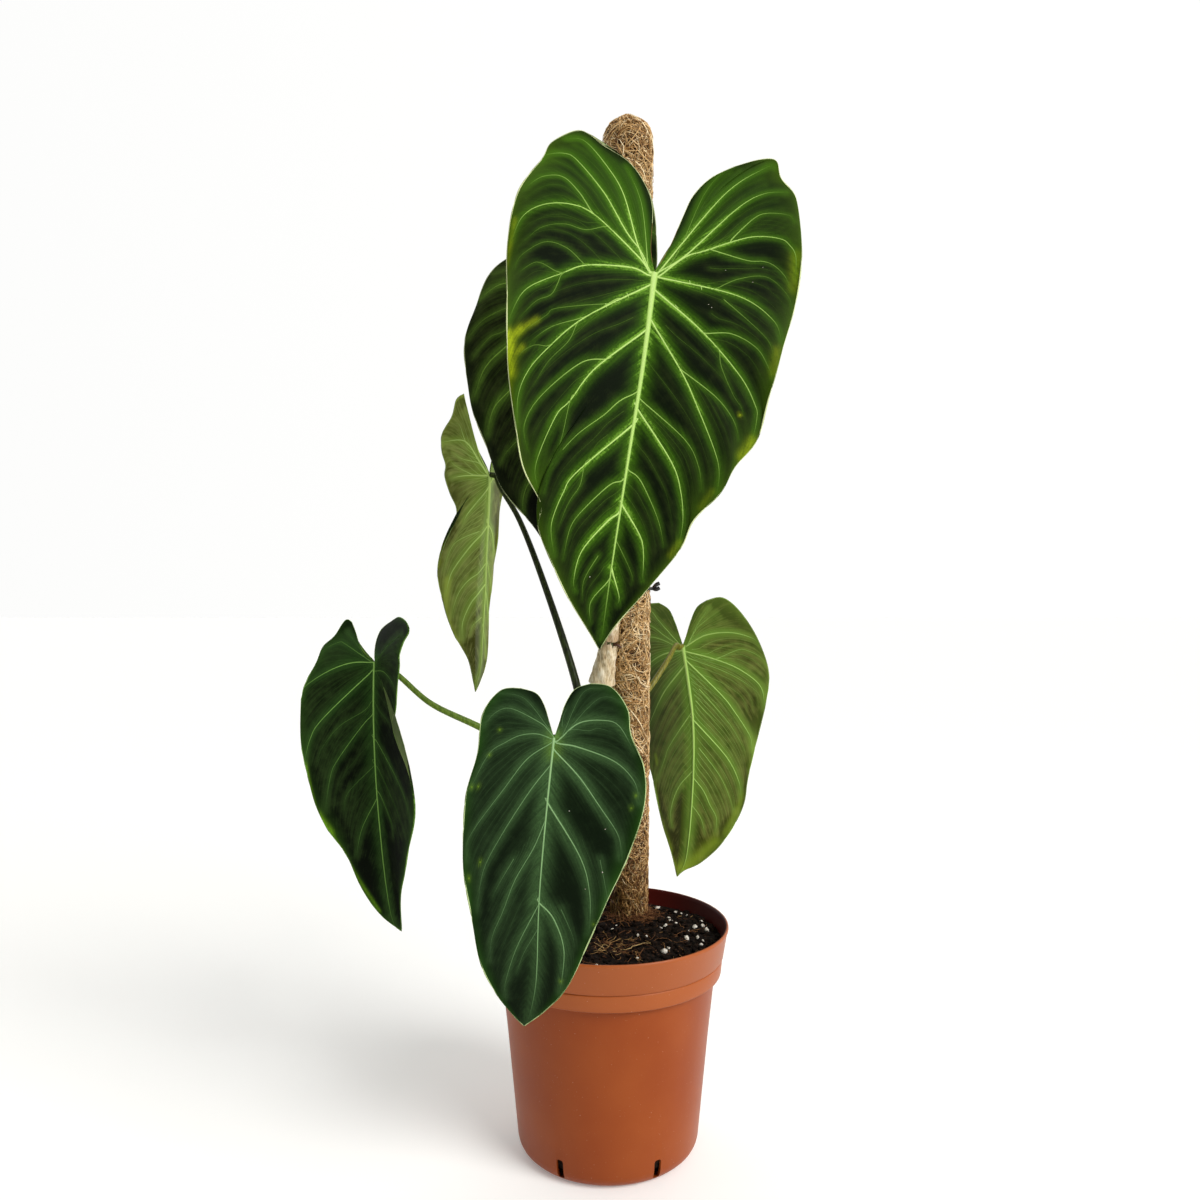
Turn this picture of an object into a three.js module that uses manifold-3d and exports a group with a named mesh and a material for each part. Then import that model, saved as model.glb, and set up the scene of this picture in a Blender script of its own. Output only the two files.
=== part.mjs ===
// A climbing velvet-leaf philodendron in a nursery pot, with its stem tied to a coir pole.
// Millimetres, +Z up. The origin is the middle of the pot's underside; +Y is the back.
import * as THREE from 'three';
import { mergeVertices } from 'three/addons/utils/BufferGeometryUtils.js';
import Module from 'manifold-3d';

const wasm = await Module();
wasm.setup();

// Pot: a moulded nursery pot, 170 mm across the rim
const potHeight = 154;
const potRimRadius = 85;
const potBandBottom = { radius: 78.6, z: 122 };
const potShoulder = { radius: 74.5, z: 114 };
const potFootRadius = 63.6;
const potCornerRadius = 8.5;
const potFlatRadius = 55;
const potWall = 1.7;
const potGrooveZ = 133;
const potSides = 42;
const slotCount = 6;
const slotWidth = 5;
const slotBottom = 3;
const slotTop = 16;

// Soil
const soilTop = 143.5;
const soilGap = 0.35;
const soilRoughness = 1.3;
const perliteCount = 16;

// Coir pole: leans forward and thickens towards its rounded top
const poleFoot = new THREE.Vector3(16.6, 43, 148);
const poleHead = new THREE.Vector3(12.6, -55, 698);
const coirFootRadius = 12.6;
const coirHeadRadius = 15;
const coirBuried = 46;
const coirRoughness = 0.55;
const coirSides = 16;
const coirSideSteps = 34;
const coirDomeSteps = 5;
const stakeRadius = 8;
const stakeBuried = 80;
const stakeBelowHead = 22;

// Stem: runs up the front left of the pole
const stemPath = [
  [-15, 11, 96],
  [-16, 10, 144],
  [-14, 8.5, 195],
  [-12, 7.5, 238],
  [-8.5, 4.5, 285],
  [-4.6, 1, 321],
  [2.2, -10.6, 364],
  [3, -24.5, 430],
  [3.2, -38, 500],
  [4, -46, 545],
];
const stemFootRadius = 6.8;
const stemHeadRadius = 4;
const stemNodes = 9;
const stemNodeSwell = 0.5;
const budLength = 38;
const rootLength = 9;
const rootHeights = [0.27, 0.564, 0.7, 0.8];

// Dry sheaths round the stem, from one fraction of its length to another
const sheathThickness = 0.8;
const sheathWrinkle = 0.2;
const sheaths = [
  { name: 'cataphyll_lower', from: 0.5, to: 0.572, flare: 3.9 },
  { name: 'cataphyll_upper', from: 0.572, to: 0.655, flare: 0.6 },
];

const tieHeight = 394;
const tieRadius = 1;
const tieEndLength = 7;

const touchGap = 0.35;
const bladeThickness = 0.85;
const veinSink = 0.35;
const veinRidge = 0.45;
const midribRidge = 1.5;

// Main veins of a half blade, counted from the lobe's inner edge (0) to the tip (10):
// where each leaves the midrib, and where it meets the margin, as fractions of their lengths.
const veinStarts = [0, 0, 0, 0, 0.005, 0.035, 0.155, 0.4, 0.64, 0.795, 1];
const veinEnds = [0, 0.1, 0.19, 0.29, 0.42, 0.58, 0.715, 0.815, 0.893, 0.945, 1];
const veinSweep = 0.36;
const veinSteps = [0, 0.05, 0.22, 0.42, 0.62, 0.82, 1];
const lobeRows = [0, 0.25, 0.5, 0.75];

// Leaves. stalk is where the petiole meets the blade and tip is the blade's tip. facing is the
// azimuth and tilt in degrees of the upper side. Outlines are across and along the flat blade:
// inner is the lobe's edge in the notch, outer runs from the lobe's top round to near the tip.
const leaves = [
  {
    name: 'leaf_1',
    stalk: [27, -109, 578],
    tip: [-6, -125, 353],
    facing: [-80, 8],
    droop: 0.3,
    lobeBend: 0.25,
    fold: 0.1,
    wave: 2.2,
    leftEnds: [0, 0.13, 0.22, 0.31, 0.475, 0.585, 0.745, 0.835, 0.91, 0.955, 1],
    rightEnds: [0, 0.083, 0.151, 0.272, 0.402, 0.585, 0.708, 0.808, 0.885, 0.937, 1],
    leftInner: [[-4, -14], [-6, -41], [-12, -56], [-24, -69], [-41, -76]],
    leftOuter: [[-57, -83], [-72, -69], [-77, -52], [-88, -26], [-89, 5], [-85, 38], [-80, 68],
      [-73, 97], [-62, 131], [-48, 151], [-46, 167], [-27, 197], [-9, 218]],
    rightInner: [[7, -18], [13, -40], [18, -56], [28, -71], [43, -83]],
    rightOuter: [[66, -91], [72, -79], [83, -67], [87, -35], [87, 5], [81, 39], [76, 68], [73, 93],
      [62, 111], [55, 128], [42, 146], [37, 164], [22, 189], [7, 213]],
    petiole: [[5.5, -31, 424], [17, -50, 455], [33, -72, 495], [40, -92, 535], [33, -102, 566]],
    petioleRadii: [3.8, 2.5],
  },
  {
    name: 'leaf_2',
    stalk: [-24, -66, 576],
    tip: [-34, -77, 407],
    facing: [-108, 8],
    droop: 0.25,
    lobeBend: -0.25,
    fold: 0.12,
    wave: 1.6,
    leftInner: [[-4, -13], [-9, -26], [-18, -36], [-30, -38]],
    leftOuter: [[-46, -28], [-59, -13], [-65, 8], [-68, 36], [-62, 66], [-50, 95], [-36, 125],
      [-14, 150]],
    rightInner: [[3, -20], [8, -42], [16, -61], [30, -74]],
    rightOuter: [[44, -72], [52, -54], [57, -25], [56, 5], [52, 35], [46, 65], [37, 95], [26, 122],
      [10, 152]],
    petiole: [[-4.5, -20.5, 404], [-14, -24, 432], [-22, -33, 485], [-25, -45, 535],
      [-22, -54, 565]],
    petioleRadii: [3.4, 2.2],
  },
  {
    name: 'leaf_3',
    stalk: [-91, 58, 479],
    tip: [-105, 83, 309],
    facing: [144, 10],
    droop: 0.3,
    lobeBend: 0.3,
    fold: 0.37,
    wave: 0.9,
    leftInner: [[-0.5, -7], [-2, -13], [-9, -18]],
    leftOuter: [[-19, -14], [-28, 0], [-33, 15], [-35, 40], [-35, 70], [-32, 90], [-28, 106],
      [-28, 133], [-19, 158]],
    rightInner: [[13, -17], [27, -42], [35, -56]],
    rightOuter: [[40, -51], [40, -38], [44, -24], [42, -12], [38, -3], [37, 6], [30, 18], [23, 28],
      [23, 38], [30, 55], [33, 78], [27, 105], [17, 127], [6, 147]],
    petiole: [[-13, 6, 279], [-18, 5.5, 298], [-22.5, 5.5, 321], [-43, 18.5, 384], [-66, 35, 442],
      [-82, 49, 469]],
    petioleRadii: [3.2, 2],
  },
  {
    name: 'leaf_4',
    stalk: [-155, -47, 341],
    tip: [-131, -77, 173],
    facing: [-125, 12],
    droop: 0.3,
    lobeBend: 0.3,
    fold: 0.42,
    wave: 0.9,
    leftInner: [[-6, -5], [-11, -13], [-14, -22], [-17, -29]],
    leftOuter: [[-22, -31], [-30, -21], [-38, -14], [-42, -2], [-51, 14], [-53, 30], [-51, 55],
      [-47, 81], [-39, 101], [-29, 120], [-21, 142], [-11, 162]],
    rightInner: [[1, -7], [4, -14], [12, -19], [28, -20]],
    rightOuter: [[44, -18], [56, -12], [60, -5], [50, -1], [44, 6], [45, 15], [38, 34], [31, 47],
      [38, 60], [49, 73], [54, 88], [51, 103], [40, 118], [24, 134], [10, 149]],
    petiole: [[-15, 7, 226], [-20, 3.5, 241], [-34, -2, 256], [-58, -10, 275], [-88, -21, 294],
      [-121, -31, 312], [-140, -37, 330]],
    petioleRadii: [3.3, 1.9],
  },
  {
    name: 'leaf_5',
    stalk: [-33, -112, 300],
    tip: [-50, -122, 133],
    facing: [-96, 10],
    droop: 0.35,
    lobeBend: 0.4,
    fold: 0.12,
    wave: 1.4,
    leftInner: [[-4, -9], [-8, -18], [-14, -25], [-24, -27]],
    leftOuter: [[-36, -24], [-44, -8], [-44, 14], [-47, 40], [-45, 72], [-38, 101], [-29, 131],
      [-18, 151], [-7, 163]],
    rightInner: [[2, -9], [4, -20], [9, -30], [18, -34]],
    rightOuter: [[31, -33], [42, -21], [46, -6], [56, 12], [58, 34], [52, 62], [43, 86], [34, 113],
      [24, 140], [12, 157]],
    petiole: [[-15.5, 0.5, 188], [-17, -9, 214], [-22, -38, 255], [-28, -72, 284], [-31, -96, 297]],
    petioleRadii: [3.6, 2.2],
  },
  {
    name: 'leaf_6',
    stalk: [62, 103, 345],
    tip: [58, 113, 153],
    facing: [62, 10],
    droop: 0.3,
    lobeBend: 0.3,
    fold: 0.12,
    wave: 1.1,
    leftInner: [[-3, -8], [-7, -20], [-13, -32], [-22, -38]],
    leftOuter: [[-35, -40], [-49, -28], [-62, -8], [-70, 20], [-68, 45], [-60, 78], [-55, 105],
      [-51, 130], [-37, 159], [-20, 178], [-6, 187]],
    rightInner: [[3, -8], [7, -19], [12, -29], [21, -34]],
    rightOuter: [[37, -30], [53, -12], [61, 20], [58, 52], [47, 86], [32, 108], [26, 124],
      [18, 152], [7, 174]],
    petiole: [[-9, 13.5, 254], [-6, 24, 268], [4, 36.5, 285], [18, 43, 301], [31, 47, 314],
      [46, 62, 334], [56, 90, 346]],
    petioleRadii: [3.2, 2.2],
  },
];

const materials = {
  terracotta: new THREE.MeshStandardMaterial({ color: 0xa95a3a, roughness: 0.45 }),
  soil: new THREE.MeshStandardMaterial({ color: 0x1d1512, roughness: 0.95 }),
  coir: new THREE.MeshStandardMaterial({ color: 0xa9885a, roughness: 0.95 }),
  wood: new THREE.MeshStandardMaterial({ color: 0xb98d5b, roughness: 0.8 }),
  stem: new THREE.MeshStandardMaterial({ color: 0x55602c, roughness: 0.6 }),
  velvet: new THREE.MeshStandardMaterial({ color: 0x1e3518, roughness: 0.6 }),
  olive: new THREE.MeshStandardMaterial({ color: 0x547a2c, roughness: 0.55 }),
  papery: new THREE.MeshStandardMaterial({ color: 0xd2bd98, roughness: 0.75 }),
  black: new THREE.MeshStandardMaterial({ color: 0x101010, roughness: 0.5 }),
};

// Same value for the same place every time, between -1 and 1
function grain(a, b = 0, c = 0) {
  const s = Math.sin(a * 12.9898 + b * 78.233 + c * 37.719) * 43758.5453;
  return 2 * (s - Math.floor(s)) - 1;
}

// A geometry with shared corners and no collapsed triangles
function welded(geometry) {
  geometry.deleteAttribute('normal');
  geometry.deleteAttribute('uv');
  const merged = mergeVertices(geometry, 1e-3);
  const kept = [];
  const index = merged.index.array;
  for (let i = 0; i < index.length; i += 3) {
    const [a, b, c] = [index[i], index[i + 1], index[i + 2]];
    if (a !== b && b !== c && c !== a) kept.push(a, b, c);
  }
  merged.setIndex(kept);
  return merged;
}

function toSolid(geometry) {
  const g = welded(geometry);
  return new wasm.Manifold(new wasm.Mesh({
    numProp: 3,
    vertProperties: new Float32Array(g.attributes.position.array),
    triVerts: new Uint32Array(g.index.array),
  }));
}

function toMesh(name, solid, material) {
  const made = solid.getMesh();
  const geometry = new THREE.BufferGeometry();
  const places = new Float32Array(made.vertProperties);
  geometry.setAttribute('position', new THREE.BufferAttribute(places, 3));
  geometry.setIndex(new THREE.BufferAttribute(new Uint32Array(made.triVerts), 1));
  geometry.computeVertexNormals();
  const mesh = new THREE.Mesh(geometry, material);
  mesh.name = name;
  return mesh;
}

// The largest body of a solid: a cut can leave a loose scrap
function mainBody(solid) {
  return solid.decompose().reduce((a, b) => (a.volume() > b.volume() ? a : b));
}

function smoothCurve(points) {
  const corners = points.map((p) => (p.isVector3 ? p : new THREE.Vector3(...p)));
  return new THREE.CatmullRomCurve3(corners, false, 'centripetal');
}

// A rod of changing radius along a curve. placeAt says where along it each ring stands.
function bentRod(curve, radiusAt, sides, steps, swellAt = () => 0, placeAt = (share) => share) {
  const geometry = new THREE.CylinderGeometry(1, 1, 1, sides, steps);
  const frames = curve.computeFrenetFrames(steps);
  const corner = geometry.attributes.position;
  for (let i = 0; i < corner.count; i++) {
    const ring = Math.round((corner.getY(i) + 0.5) * steps);
    const s = placeAt(ring / steps);
    const [x, z] = [corner.getX(i), corner.getZ(i)];
    const angle = Math.round(Math.atan2(z, x) / (2 * Math.PI) * sides);
    const reach = radiusAt(s) + (Math.hypot(x, z) > 0.5 ? swellAt((angle + sides) % sides, ring) : 0);
    const p = curve.getPointAt(s)
      .addScaledVector(frames.normals[ring], x * reach)
      .addScaledVector(frames.binormals[ring], -z * reach);
    corner.setXYZ(i, p.x, p.y, p.z);
  }
  return toSolid(geometry);
}

// A thin closed sheet: a grid of rows and columns with an upper (1) and a lower (-1) face.
// Both faces share one split of each square, mirrored about the middle column.
function closedSheet(rows, columns, pointAt) {
  const places = [];
  const at = (row, column, face) => (row * (columns + 1) + column) * 2 + (face > 0 ? 0 : 1);
  for (let row = 0; row <= rows; row++) {
    for (let column = 0; column <= columns; column++) {
      places.push(...pointAt(row, column, 1).toArray(), ...pointAt(row, column, -1).toArray());
    }
  }
  const index = [];
  const quad = (a, b, c, d) => index.push(a, b, c, a, c, d);
  for (let row = 0; row < rows; row++) {
    for (let column = 0; column < columns; column++) {
      const turn = column < columns / 2 ? 1 : 0;
      for (const face of [1, -1]) {
        const ring = [at(row, column, face), at(row + 1, column, face),
          at(row + 1, column + 1, face), at(row, column + 1, face)];
        if (face < 0) ring.reverse();
        const shift = face > 0 ? turn : 1 - turn;
        quad(...ring.slice(shift), ...ring.slice(0, shift));
      }
    }
  }
  const border = [];
  for (let column = 0; column < columns; column++) border.push([0, column]);
  for (let row = 0; row < rows; row++) border.push([row, columns]);
  for (let column = columns; column > 0; column--) border.push([rows, column]);
  for (let row = rows; row > 0; row--) border.push([row, 0]);
  border.forEach(([row, column], i) => {
    const [nextRow, nextColumn] = border[(i + 1) % border.length];
    const [near, far] = [at(row, column, 1), at(nextRow, nextColumn, 1)];
    quad(near, far, far + 1, near + 1);
  });
  const geometry = new THREE.BufferGeometry();
  geometry.setAttribute('position', new THREE.BufferAttribute(new Float32Array(places), 3));
  geometry.setIndex(index);
  return toSolid(geometry);
}

// Pot
function potOuterProfile() {
  const corner = [];
  for (let i = 0; i <= 4; i++) {
    const turn = (Math.PI / 2) * (i / 4);
    corner.push([
      potFlatRadius + (potFootRadius - potFlatRadius) * Math.sin(turn),
      potCornerRadius * (1 - Math.cos(turn)),
    ]);
  }
  const bandSlope = (potRimRadius - potBandBottom.radius) / (potHeight - potBandBottom.z);
  const bandAt = (z) => potBandBottom.radius + bandSlope * (z - potBandBottom.z);
  return [
    ...corner,
    [potShoulder.radius, potShoulder.z],
    [potBandBottom.radius, potBandBottom.z - 1.5],
    [potBandBottom.radius + 0.4, potBandBottom.z],
    [bandAt(potGrooveZ) + 0.3, potGrooveZ - 0.8],
    [bandAt(potGrooveZ) - 0.4, potGrooveZ],
    [potRimRadius - 0.4, potHeight - 2.2],
    [potRimRadius, potHeight - 1],
    [potRimRadius - 0.6, potHeight],
  ];
}

function potInnerProfile() {
  return [
    [0, potWall + 0.3],
    [potFlatRadius - 1, potWall + 0.3],
    [potFootRadius - potWall, potCornerRadius + 1],
    [potShoulder.radius - potWall - 0.1, potShoulder.z],
    [potBandBottom.radius - potWall, potBandBottom.z + 0.5],
    [potRimRadius - potWall - 0.6, potHeight - 1],
    [potRimRadius - potWall + 0.1, potHeight],
  ];
}

function pot() {
  const profile = [[0, 0], ...potOuterProfile(), ...potInnerProfile().reverse()];
  const shell = new THREE.LatheGeometry(profile.map(([r, z]) => new THREE.Vector2(r, z)), potSides);
  let solid = toSolid(shell.rotateX(Math.PI / 2));
  for (let i = 0; i < slotCount; i++) {
    const slot = new THREE.BoxGeometry(20, slotWidth, slotTop - slotBottom);
    slot.translate(potFootRadius + 2, 0, (slotTop + slotBottom) / 2);
    slot.rotateZ((2 * Math.PI * i) / slotCount);
    solid = solid.subtract(toSolid(slot));
  }
  return toMesh('pot', solid, materials.terracotta);
}

// Pole
const poleDirection = poleHead.clone().sub(poleFoot).normalize();
const poleLength = poleHead.distanceTo(poleFoot);
const alongPole = (distance) => poleFoot.clone().addScaledVector(poleDirection, distance);

// The outside of the coir: a straight side, and a dome of a few rings at the top
function coirBody() {
  const total = poleLength + coirBuried;
  const sideShare = (total - coirHeadRadius) / total;
  const steps = coirSideSteps + coirDomeSteps;
  const domeTurn = (share) => (Math.PI / 2) * (share * steps - coirSideSteps) / coirDomeSteps;
  const placeAt = (share) => (share * steps <= coirSideSteps
    ? sideShare * (share * steps / coirSideSteps)
    : sideShare + (1 - sideShare) * Math.sin(domeTurn(share)));
  const radiusAt = (s) => {
    const rise = Math.max(0, s * total - coirBuried) / poleLength;
    const side = THREE.MathUtils.lerp(coirFootRadius, coirHeadRadius, rise);
    const up = Math.max(0, (s - sideShare) / (1 - sideShare));
    return side * Math.sqrt(Math.max(0, 1 - up * up)) + 0.02;
  };
  const lumps = (a, ring) => (ring > 0 && ring < steps - 1 ? coirRoughness * grain(a, ring) : 0);
  const curve = new THREE.LineCurve3(alongPole(-coirBuried), poleHead);
  return bentRod(curve, radiusAt, coirSides, steps, lumps, placeAt);
}

// What the pole's neighbours are cut back by: the coir with its lumps and a gap
function coirClearance() {
  const curve = new THREE.LineCurve3(alongPole(-coirBuried - touchGap), poleHead);
  const total = poleLength + coirBuried;
  const radiusAt = (s) => coirRoughness + touchGap + THREE.MathUtils.lerp(
    coirFootRadius,
    coirHeadRadius,
    Math.max(0, s * total - coirBuried) / poleLength,
  );
  return bentRod(curve, radiusAt, 24, 12);
}

function stakeRod(extra) {
  const curve = new THREE.LineCurve3(
    alongPole(-stakeBuried - extra),
    alongPole(poleLength - stakeBelowHead + extra),
  );
  return bentRod(curve, () => stakeRadius + extra, 16, 1);
}

// Stem with its short aerial roots and the rolled bud at its end
const stemCurve = smoothCurve(stemPath);
const stemRadiusAt = (s) => THREE.MathUtils.lerp(stemFootRadius, stemHeadRadius, Math.min(1, 1.6 * s))
  + stemNodeSwell * Math.max(0, Math.cos(2 * Math.PI * stemNodes * s)) ** 6;

function stemRod(extra = 0) {
  return bentRod(stemCurve, (s) => stemRadiusAt(s) + extra, 10, 40);
}

function bud() {
  const foot = stemCurve.getPointAt(1);
  const rise = stemCurve.getTangentAt(1);
  const curve = smoothCurve([
    foot.clone().addScaledVector(rise, -2),
    foot.clone().addScaledVector(rise, budLength / 2),
    foot.clone().addScaledVector(rise, budLength).add(new THREE.Vector3(2, 3, 0)),
  ]);
  return bentRod(curve, (s) => 4.4 * (1 - s) ** 0.6 + 0.5, 10, 6);
}

function aerialRoots(extra = 0) {
  return rootHeights.flatMap((s, i) => [-1, 1].map((side) => {
    const start = stemCurve.getPointAt(s);
    const toPole = alongPole(start.z - poleFoot.z).sub(start).setZ(0).normalize();
    const turn = side * (1.25 + 0.3 * grain(i, side));
    const out = toPole.clone().applyAxisAngle(new THREE.Vector3(0, 0, 1), turn);
    const end = start.clone().addScaledVector(out, stemRadiusAt(s) + rootLength * 0.45)
      .addScaledVector(toPole, 3 + 2 * grain(side, i));
    end.z -= 2 + 2 * grain(i, 7, side);
    const middle = start.clone().addScaledVector(out, stemRadiusAt(s) + rootLength * 0.35);
    return bentRod(smoothCurve([start, middle, end]), (t) => 1.4 - 0.7 * t + extra, 5, 3);
  }));
}

// A dry sheath, open down its back, that follows the stem and flares towards its foot
function sheath({ from, to, flare }) {
  const rows = 6;
  const columns = 12;
  const gapTurn = 0.55;
  const frames = stemCurve.computeFrenetFrames(100);
  return closedSheet(rows, columns, (row, column, face) => {
    const turn = Math.PI - gapTurn - (2 * (Math.PI - gapTurn)) * (column / columns);
    const peak = 1 - 0.22 * Math.abs(turn) / Math.PI;
    const s = from + (to - from) * (row / rows) * peak;
    const reach = stemRadiusAt(s) + touchGap + (1 + face) * sheathThickness / 2
      + flare * (1 - row / rows) + sheathWrinkle * Math.sin(6 * turn + 3 * row);
    const centre = stemCurve.getPointAt(s);
    const front = new THREE.Vector3(-0.62, -0.78, 0);
    const rise = frames.tangents[Math.round(s * 100)];
    front.addScaledVector(rise, -front.dot(rise)).normalize();
    return centre.addScaledVector(front.applyAxisAngle(rise, turn), reach);
  });
}

// Tie: a wire loop round the pole and the stem, its two ends twisted together at the right
function tie() {
  const height = tieHeight - poleFoot.z;
  const poleCentre = alongPole(height);
  const stemCentre = stemCurve.getPointAt(0.665);
  stemCentre.z = poleCentre.z;
  const rings = [
    { centre: poleCentre, reach: coirHeadRadius + 1.2 },
    { centre: stemCentre, reach: stemFootRadius + 0.4 },
  ];
  const loop = new THREE.TorusGeometry(10, tieRadius, 5, 28);
  const corner = loop.attributes.position;
  for (let i = 0; i < corner.count; i++) {
    const [x, y, z] = [corner.getX(i), corner.getY(i), corner.getZ(i)];
    const out = new THREE.Vector3(x, y, 0).normalize();
    const reaches = rings.map((ring) => ring.centre.dot(out) + ring.reach);
    const far = rings[reaches[0] > reaches[1] ? 0 : 1];
    const p = far.centre.clone().addScaledVector(out, far.reach + Math.hypot(x, y) - 10 + tieRadius);
    corner.setXYZ(i, p.x, p.y, p.z + z);
  }
  const knot = poleCentre.clone().add(new THREE.Vector3(coirHeadRadius + 2.2, -3, 0));
  const ends = [1, -1].map((side) => {
    const end = knot.clone().add(new THREE.Vector3(tieEndLength * 0.6, -1, side * 1.6 + 2));
    return bentRod(new THREE.LineCurve3(knot, end), () => tieRadius + 0.2, 6, 1);
  });
  return ends.reduce((a, b) => a.add(b), toSolid(loop));
}

// Leaf blades
function blend(list, k) {
  const i = Math.min(Math.floor(k), list.length - 2);
  return THREE.MathUtils.lerp(list[i], list[i + 1], k - i);
}

function bladeFrame(leaf) {
  const stalk = new THREE.Vector3(...leaf.stalk);
  const chord = new THREE.Vector3(...leaf.tip).sub(stalk);
  const length = chord.length() * (leaf.droop / 2) / Math.sin(leaf.droop / 2);
  chord.normalize();
  const [turn, tilt] = leaf.facing.map(THREE.MathUtils.degToRad);
  const level = Math.cos(tilt);
  const up = new THREE.Vector3(Math.cos(turn) * level, Math.sin(turn) * level, Math.sin(tilt));
  up.addScaledVector(chord, -up.dot(chord)).normalize();
  const half = leaf.droop / 2;
  const along = chord.clone().multiplyScalar(Math.cos(half)).addScaledVector(up, Math.sin(half));
  const normal = up.multiplyScalar(Math.cos(half)).addScaledVector(chord, -Math.sin(half));
  return { stalk, length, along, normal, across: normal.clone().cross(along) };
}

// Where a point of the flat blade goes once the blade droops and folds along its midrib
function bladePoint(leaf, frame, across, along, lift) {
  const bend = along >= 0 ? leaf.droop : leaf.lobeBend;
  const turn = bend * (along / frame.length);
  const forward = frame.length * Math.sin(turn) / bend;
  const back = -frame.length * (1 - Math.cos(turn)) / bend;
  const rise = Math.abs(across) * Math.sin(leaf.fold) + lift;
  const out = frame.normal.clone().multiplyScalar(Math.cos(turn));
  out.addScaledVector(frame.along, Math.sin(turn));
  return frame.stalk.clone()
    .addScaledVector(frame.along, forward)
    .addScaledVector(frame.normal, back)
    .addScaledVector(frame.across, across * Math.cos(leaf.fold))
    .addScaledVector(out, rise);
}

// One half of the flat blade: vein k, from the midrib (t = 0) to the margin (t = 1)
function halfBlade(inner, outer, ends, length) {
  const flat = (points) => new THREE.SplineCurve(points.map((p) => new THREE.Vector2(...p)));
  const notch = flat([[0, 0], ...inner]);
  const edge = flat([inner[inner.length - 1], ...outer, [0, length]]);
  const side = Math.sign(inner[inner.length - 1][0]);
  const vein = (k, t) => {
    const start = new THREE.Vector2(0, blend(veinStarts, k) * length);
    const end = edge.getPointAt(blend(ends, k));
    const chord = end.clone().sub(start);
    const first = chord.clone().rotateAround(new THREE.Vector2(), -side * veinSweep);
    first.multiplyScalar(0.4).add(start);
    const last = edge.getTangentAt(blend(ends, k)).multiplyScalar(-0.3 * chord.length()).add(end);
    return new THREE.CubicBezierCurve(start, first, last, end).getPoint(t);
  };
  return (k, t) => {
    const p = vein(k, t);
    const pull = Math.max(0, 1 - k / 1.5) ** 2;
    return pull ? p.add(notch.getPointAt(t).sub(vein(0, t)).multiplyScalar(pull)) : p;
  };
}

function blade(leaf, leafNumber) {
  const frame = bladeFrame(leaf);
  const leftEnds = leaf.leftEnds || veinEnds;
  const rightEnds = leaf.rightEnds || veinEnds;
  const left = halfBlade(leaf.leftInner, leaf.leftOuter, leftEnds, frame.length);
  const right = halfBlade(leaf.rightInner, leaf.rightOuter, rightEnds, frame.length);
  const steps = veinSteps.length - 1;
  const last = veinStarts.length - 1;
  const rows = lobeRows.length + 2 * (last - 1);
  return closedSheet(rows, 2 * steps, (row, column, face) => {
    const k = row < lobeRows.length ? lobeRows[row] : 1 + (row - lobeRows.length) / 2;
    const t = veinSteps[Math.abs(column - steps)];
    const flat = column < steps ? left(k, t) : right(k, t);
    const onVein = Number.isInteger(k) && k > 0 && k < last;
    const margin = blend(column < steps ? leftEnds : rightEnds, k);
    const tipFade = 1 - k / last;
    const wave = leaf.wave * t ** 3 * Math.min(1, 3 * tipFade)
      * Math.sin(2 * Math.PI * (4.5 * margin + 0.3 * leafNumber + (column < steps ? 0.4 : 0)));
    const swell = Math.sin(Math.PI * t) * (onVein ? -veinSink : k < 1 ? 0 : veinSink);
    const midrib = t === 0 ? midribRidge * (0.35 + 0.65 * tipFade) : 0;
    const ridge = (onVein && t > 0 && t < 1 ? veinRidge * (1 - t) : 0) + midrib;
    const lift = wave + swell + face * bladeThickness / 2 - (face < 0 ? ridge : 0);
    return bladePoint(leaf, frame, flat.x, flat.y, lift);
  });
}

function petiole(leaf) {
  const { stalk, normal } = bladeFrame(leaf);
  const [foot, head] = leaf.petioleRadii;
  const joint = stalk.clone().addScaledVector(normal, -7);
  const end = stalk.clone().addScaledVector(normal, 0.15);
  const curve = smoothCurve([...leaf.petiole, joint, end]);
  const radiusAt = (s) => THREE.MathUtils.lerp(foot, head, Math.min(1, s * 1.25))
    + (s < 0.12 ? 1.2 * (1 - s / 0.12) : 0) + (s > 0.93 && s < 0.99 ? 0.5 : 0);
  return bentRod(curve, radiusAt, 7, 18);
}

function leafMesh(leaf, number, stemCutter) {
  const solid = petiole(leaf).subtract(stemCutter);
  const whole = mainBody(solid).add(blade(leaf, number));
  const paleSide = leaf.name === 'leaf_3' || leaf.name === 'leaf_6';
  return toMesh(leaf.name, mainBody(whole), paleSide ? materials.olive : materials.velvet);
}

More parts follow.
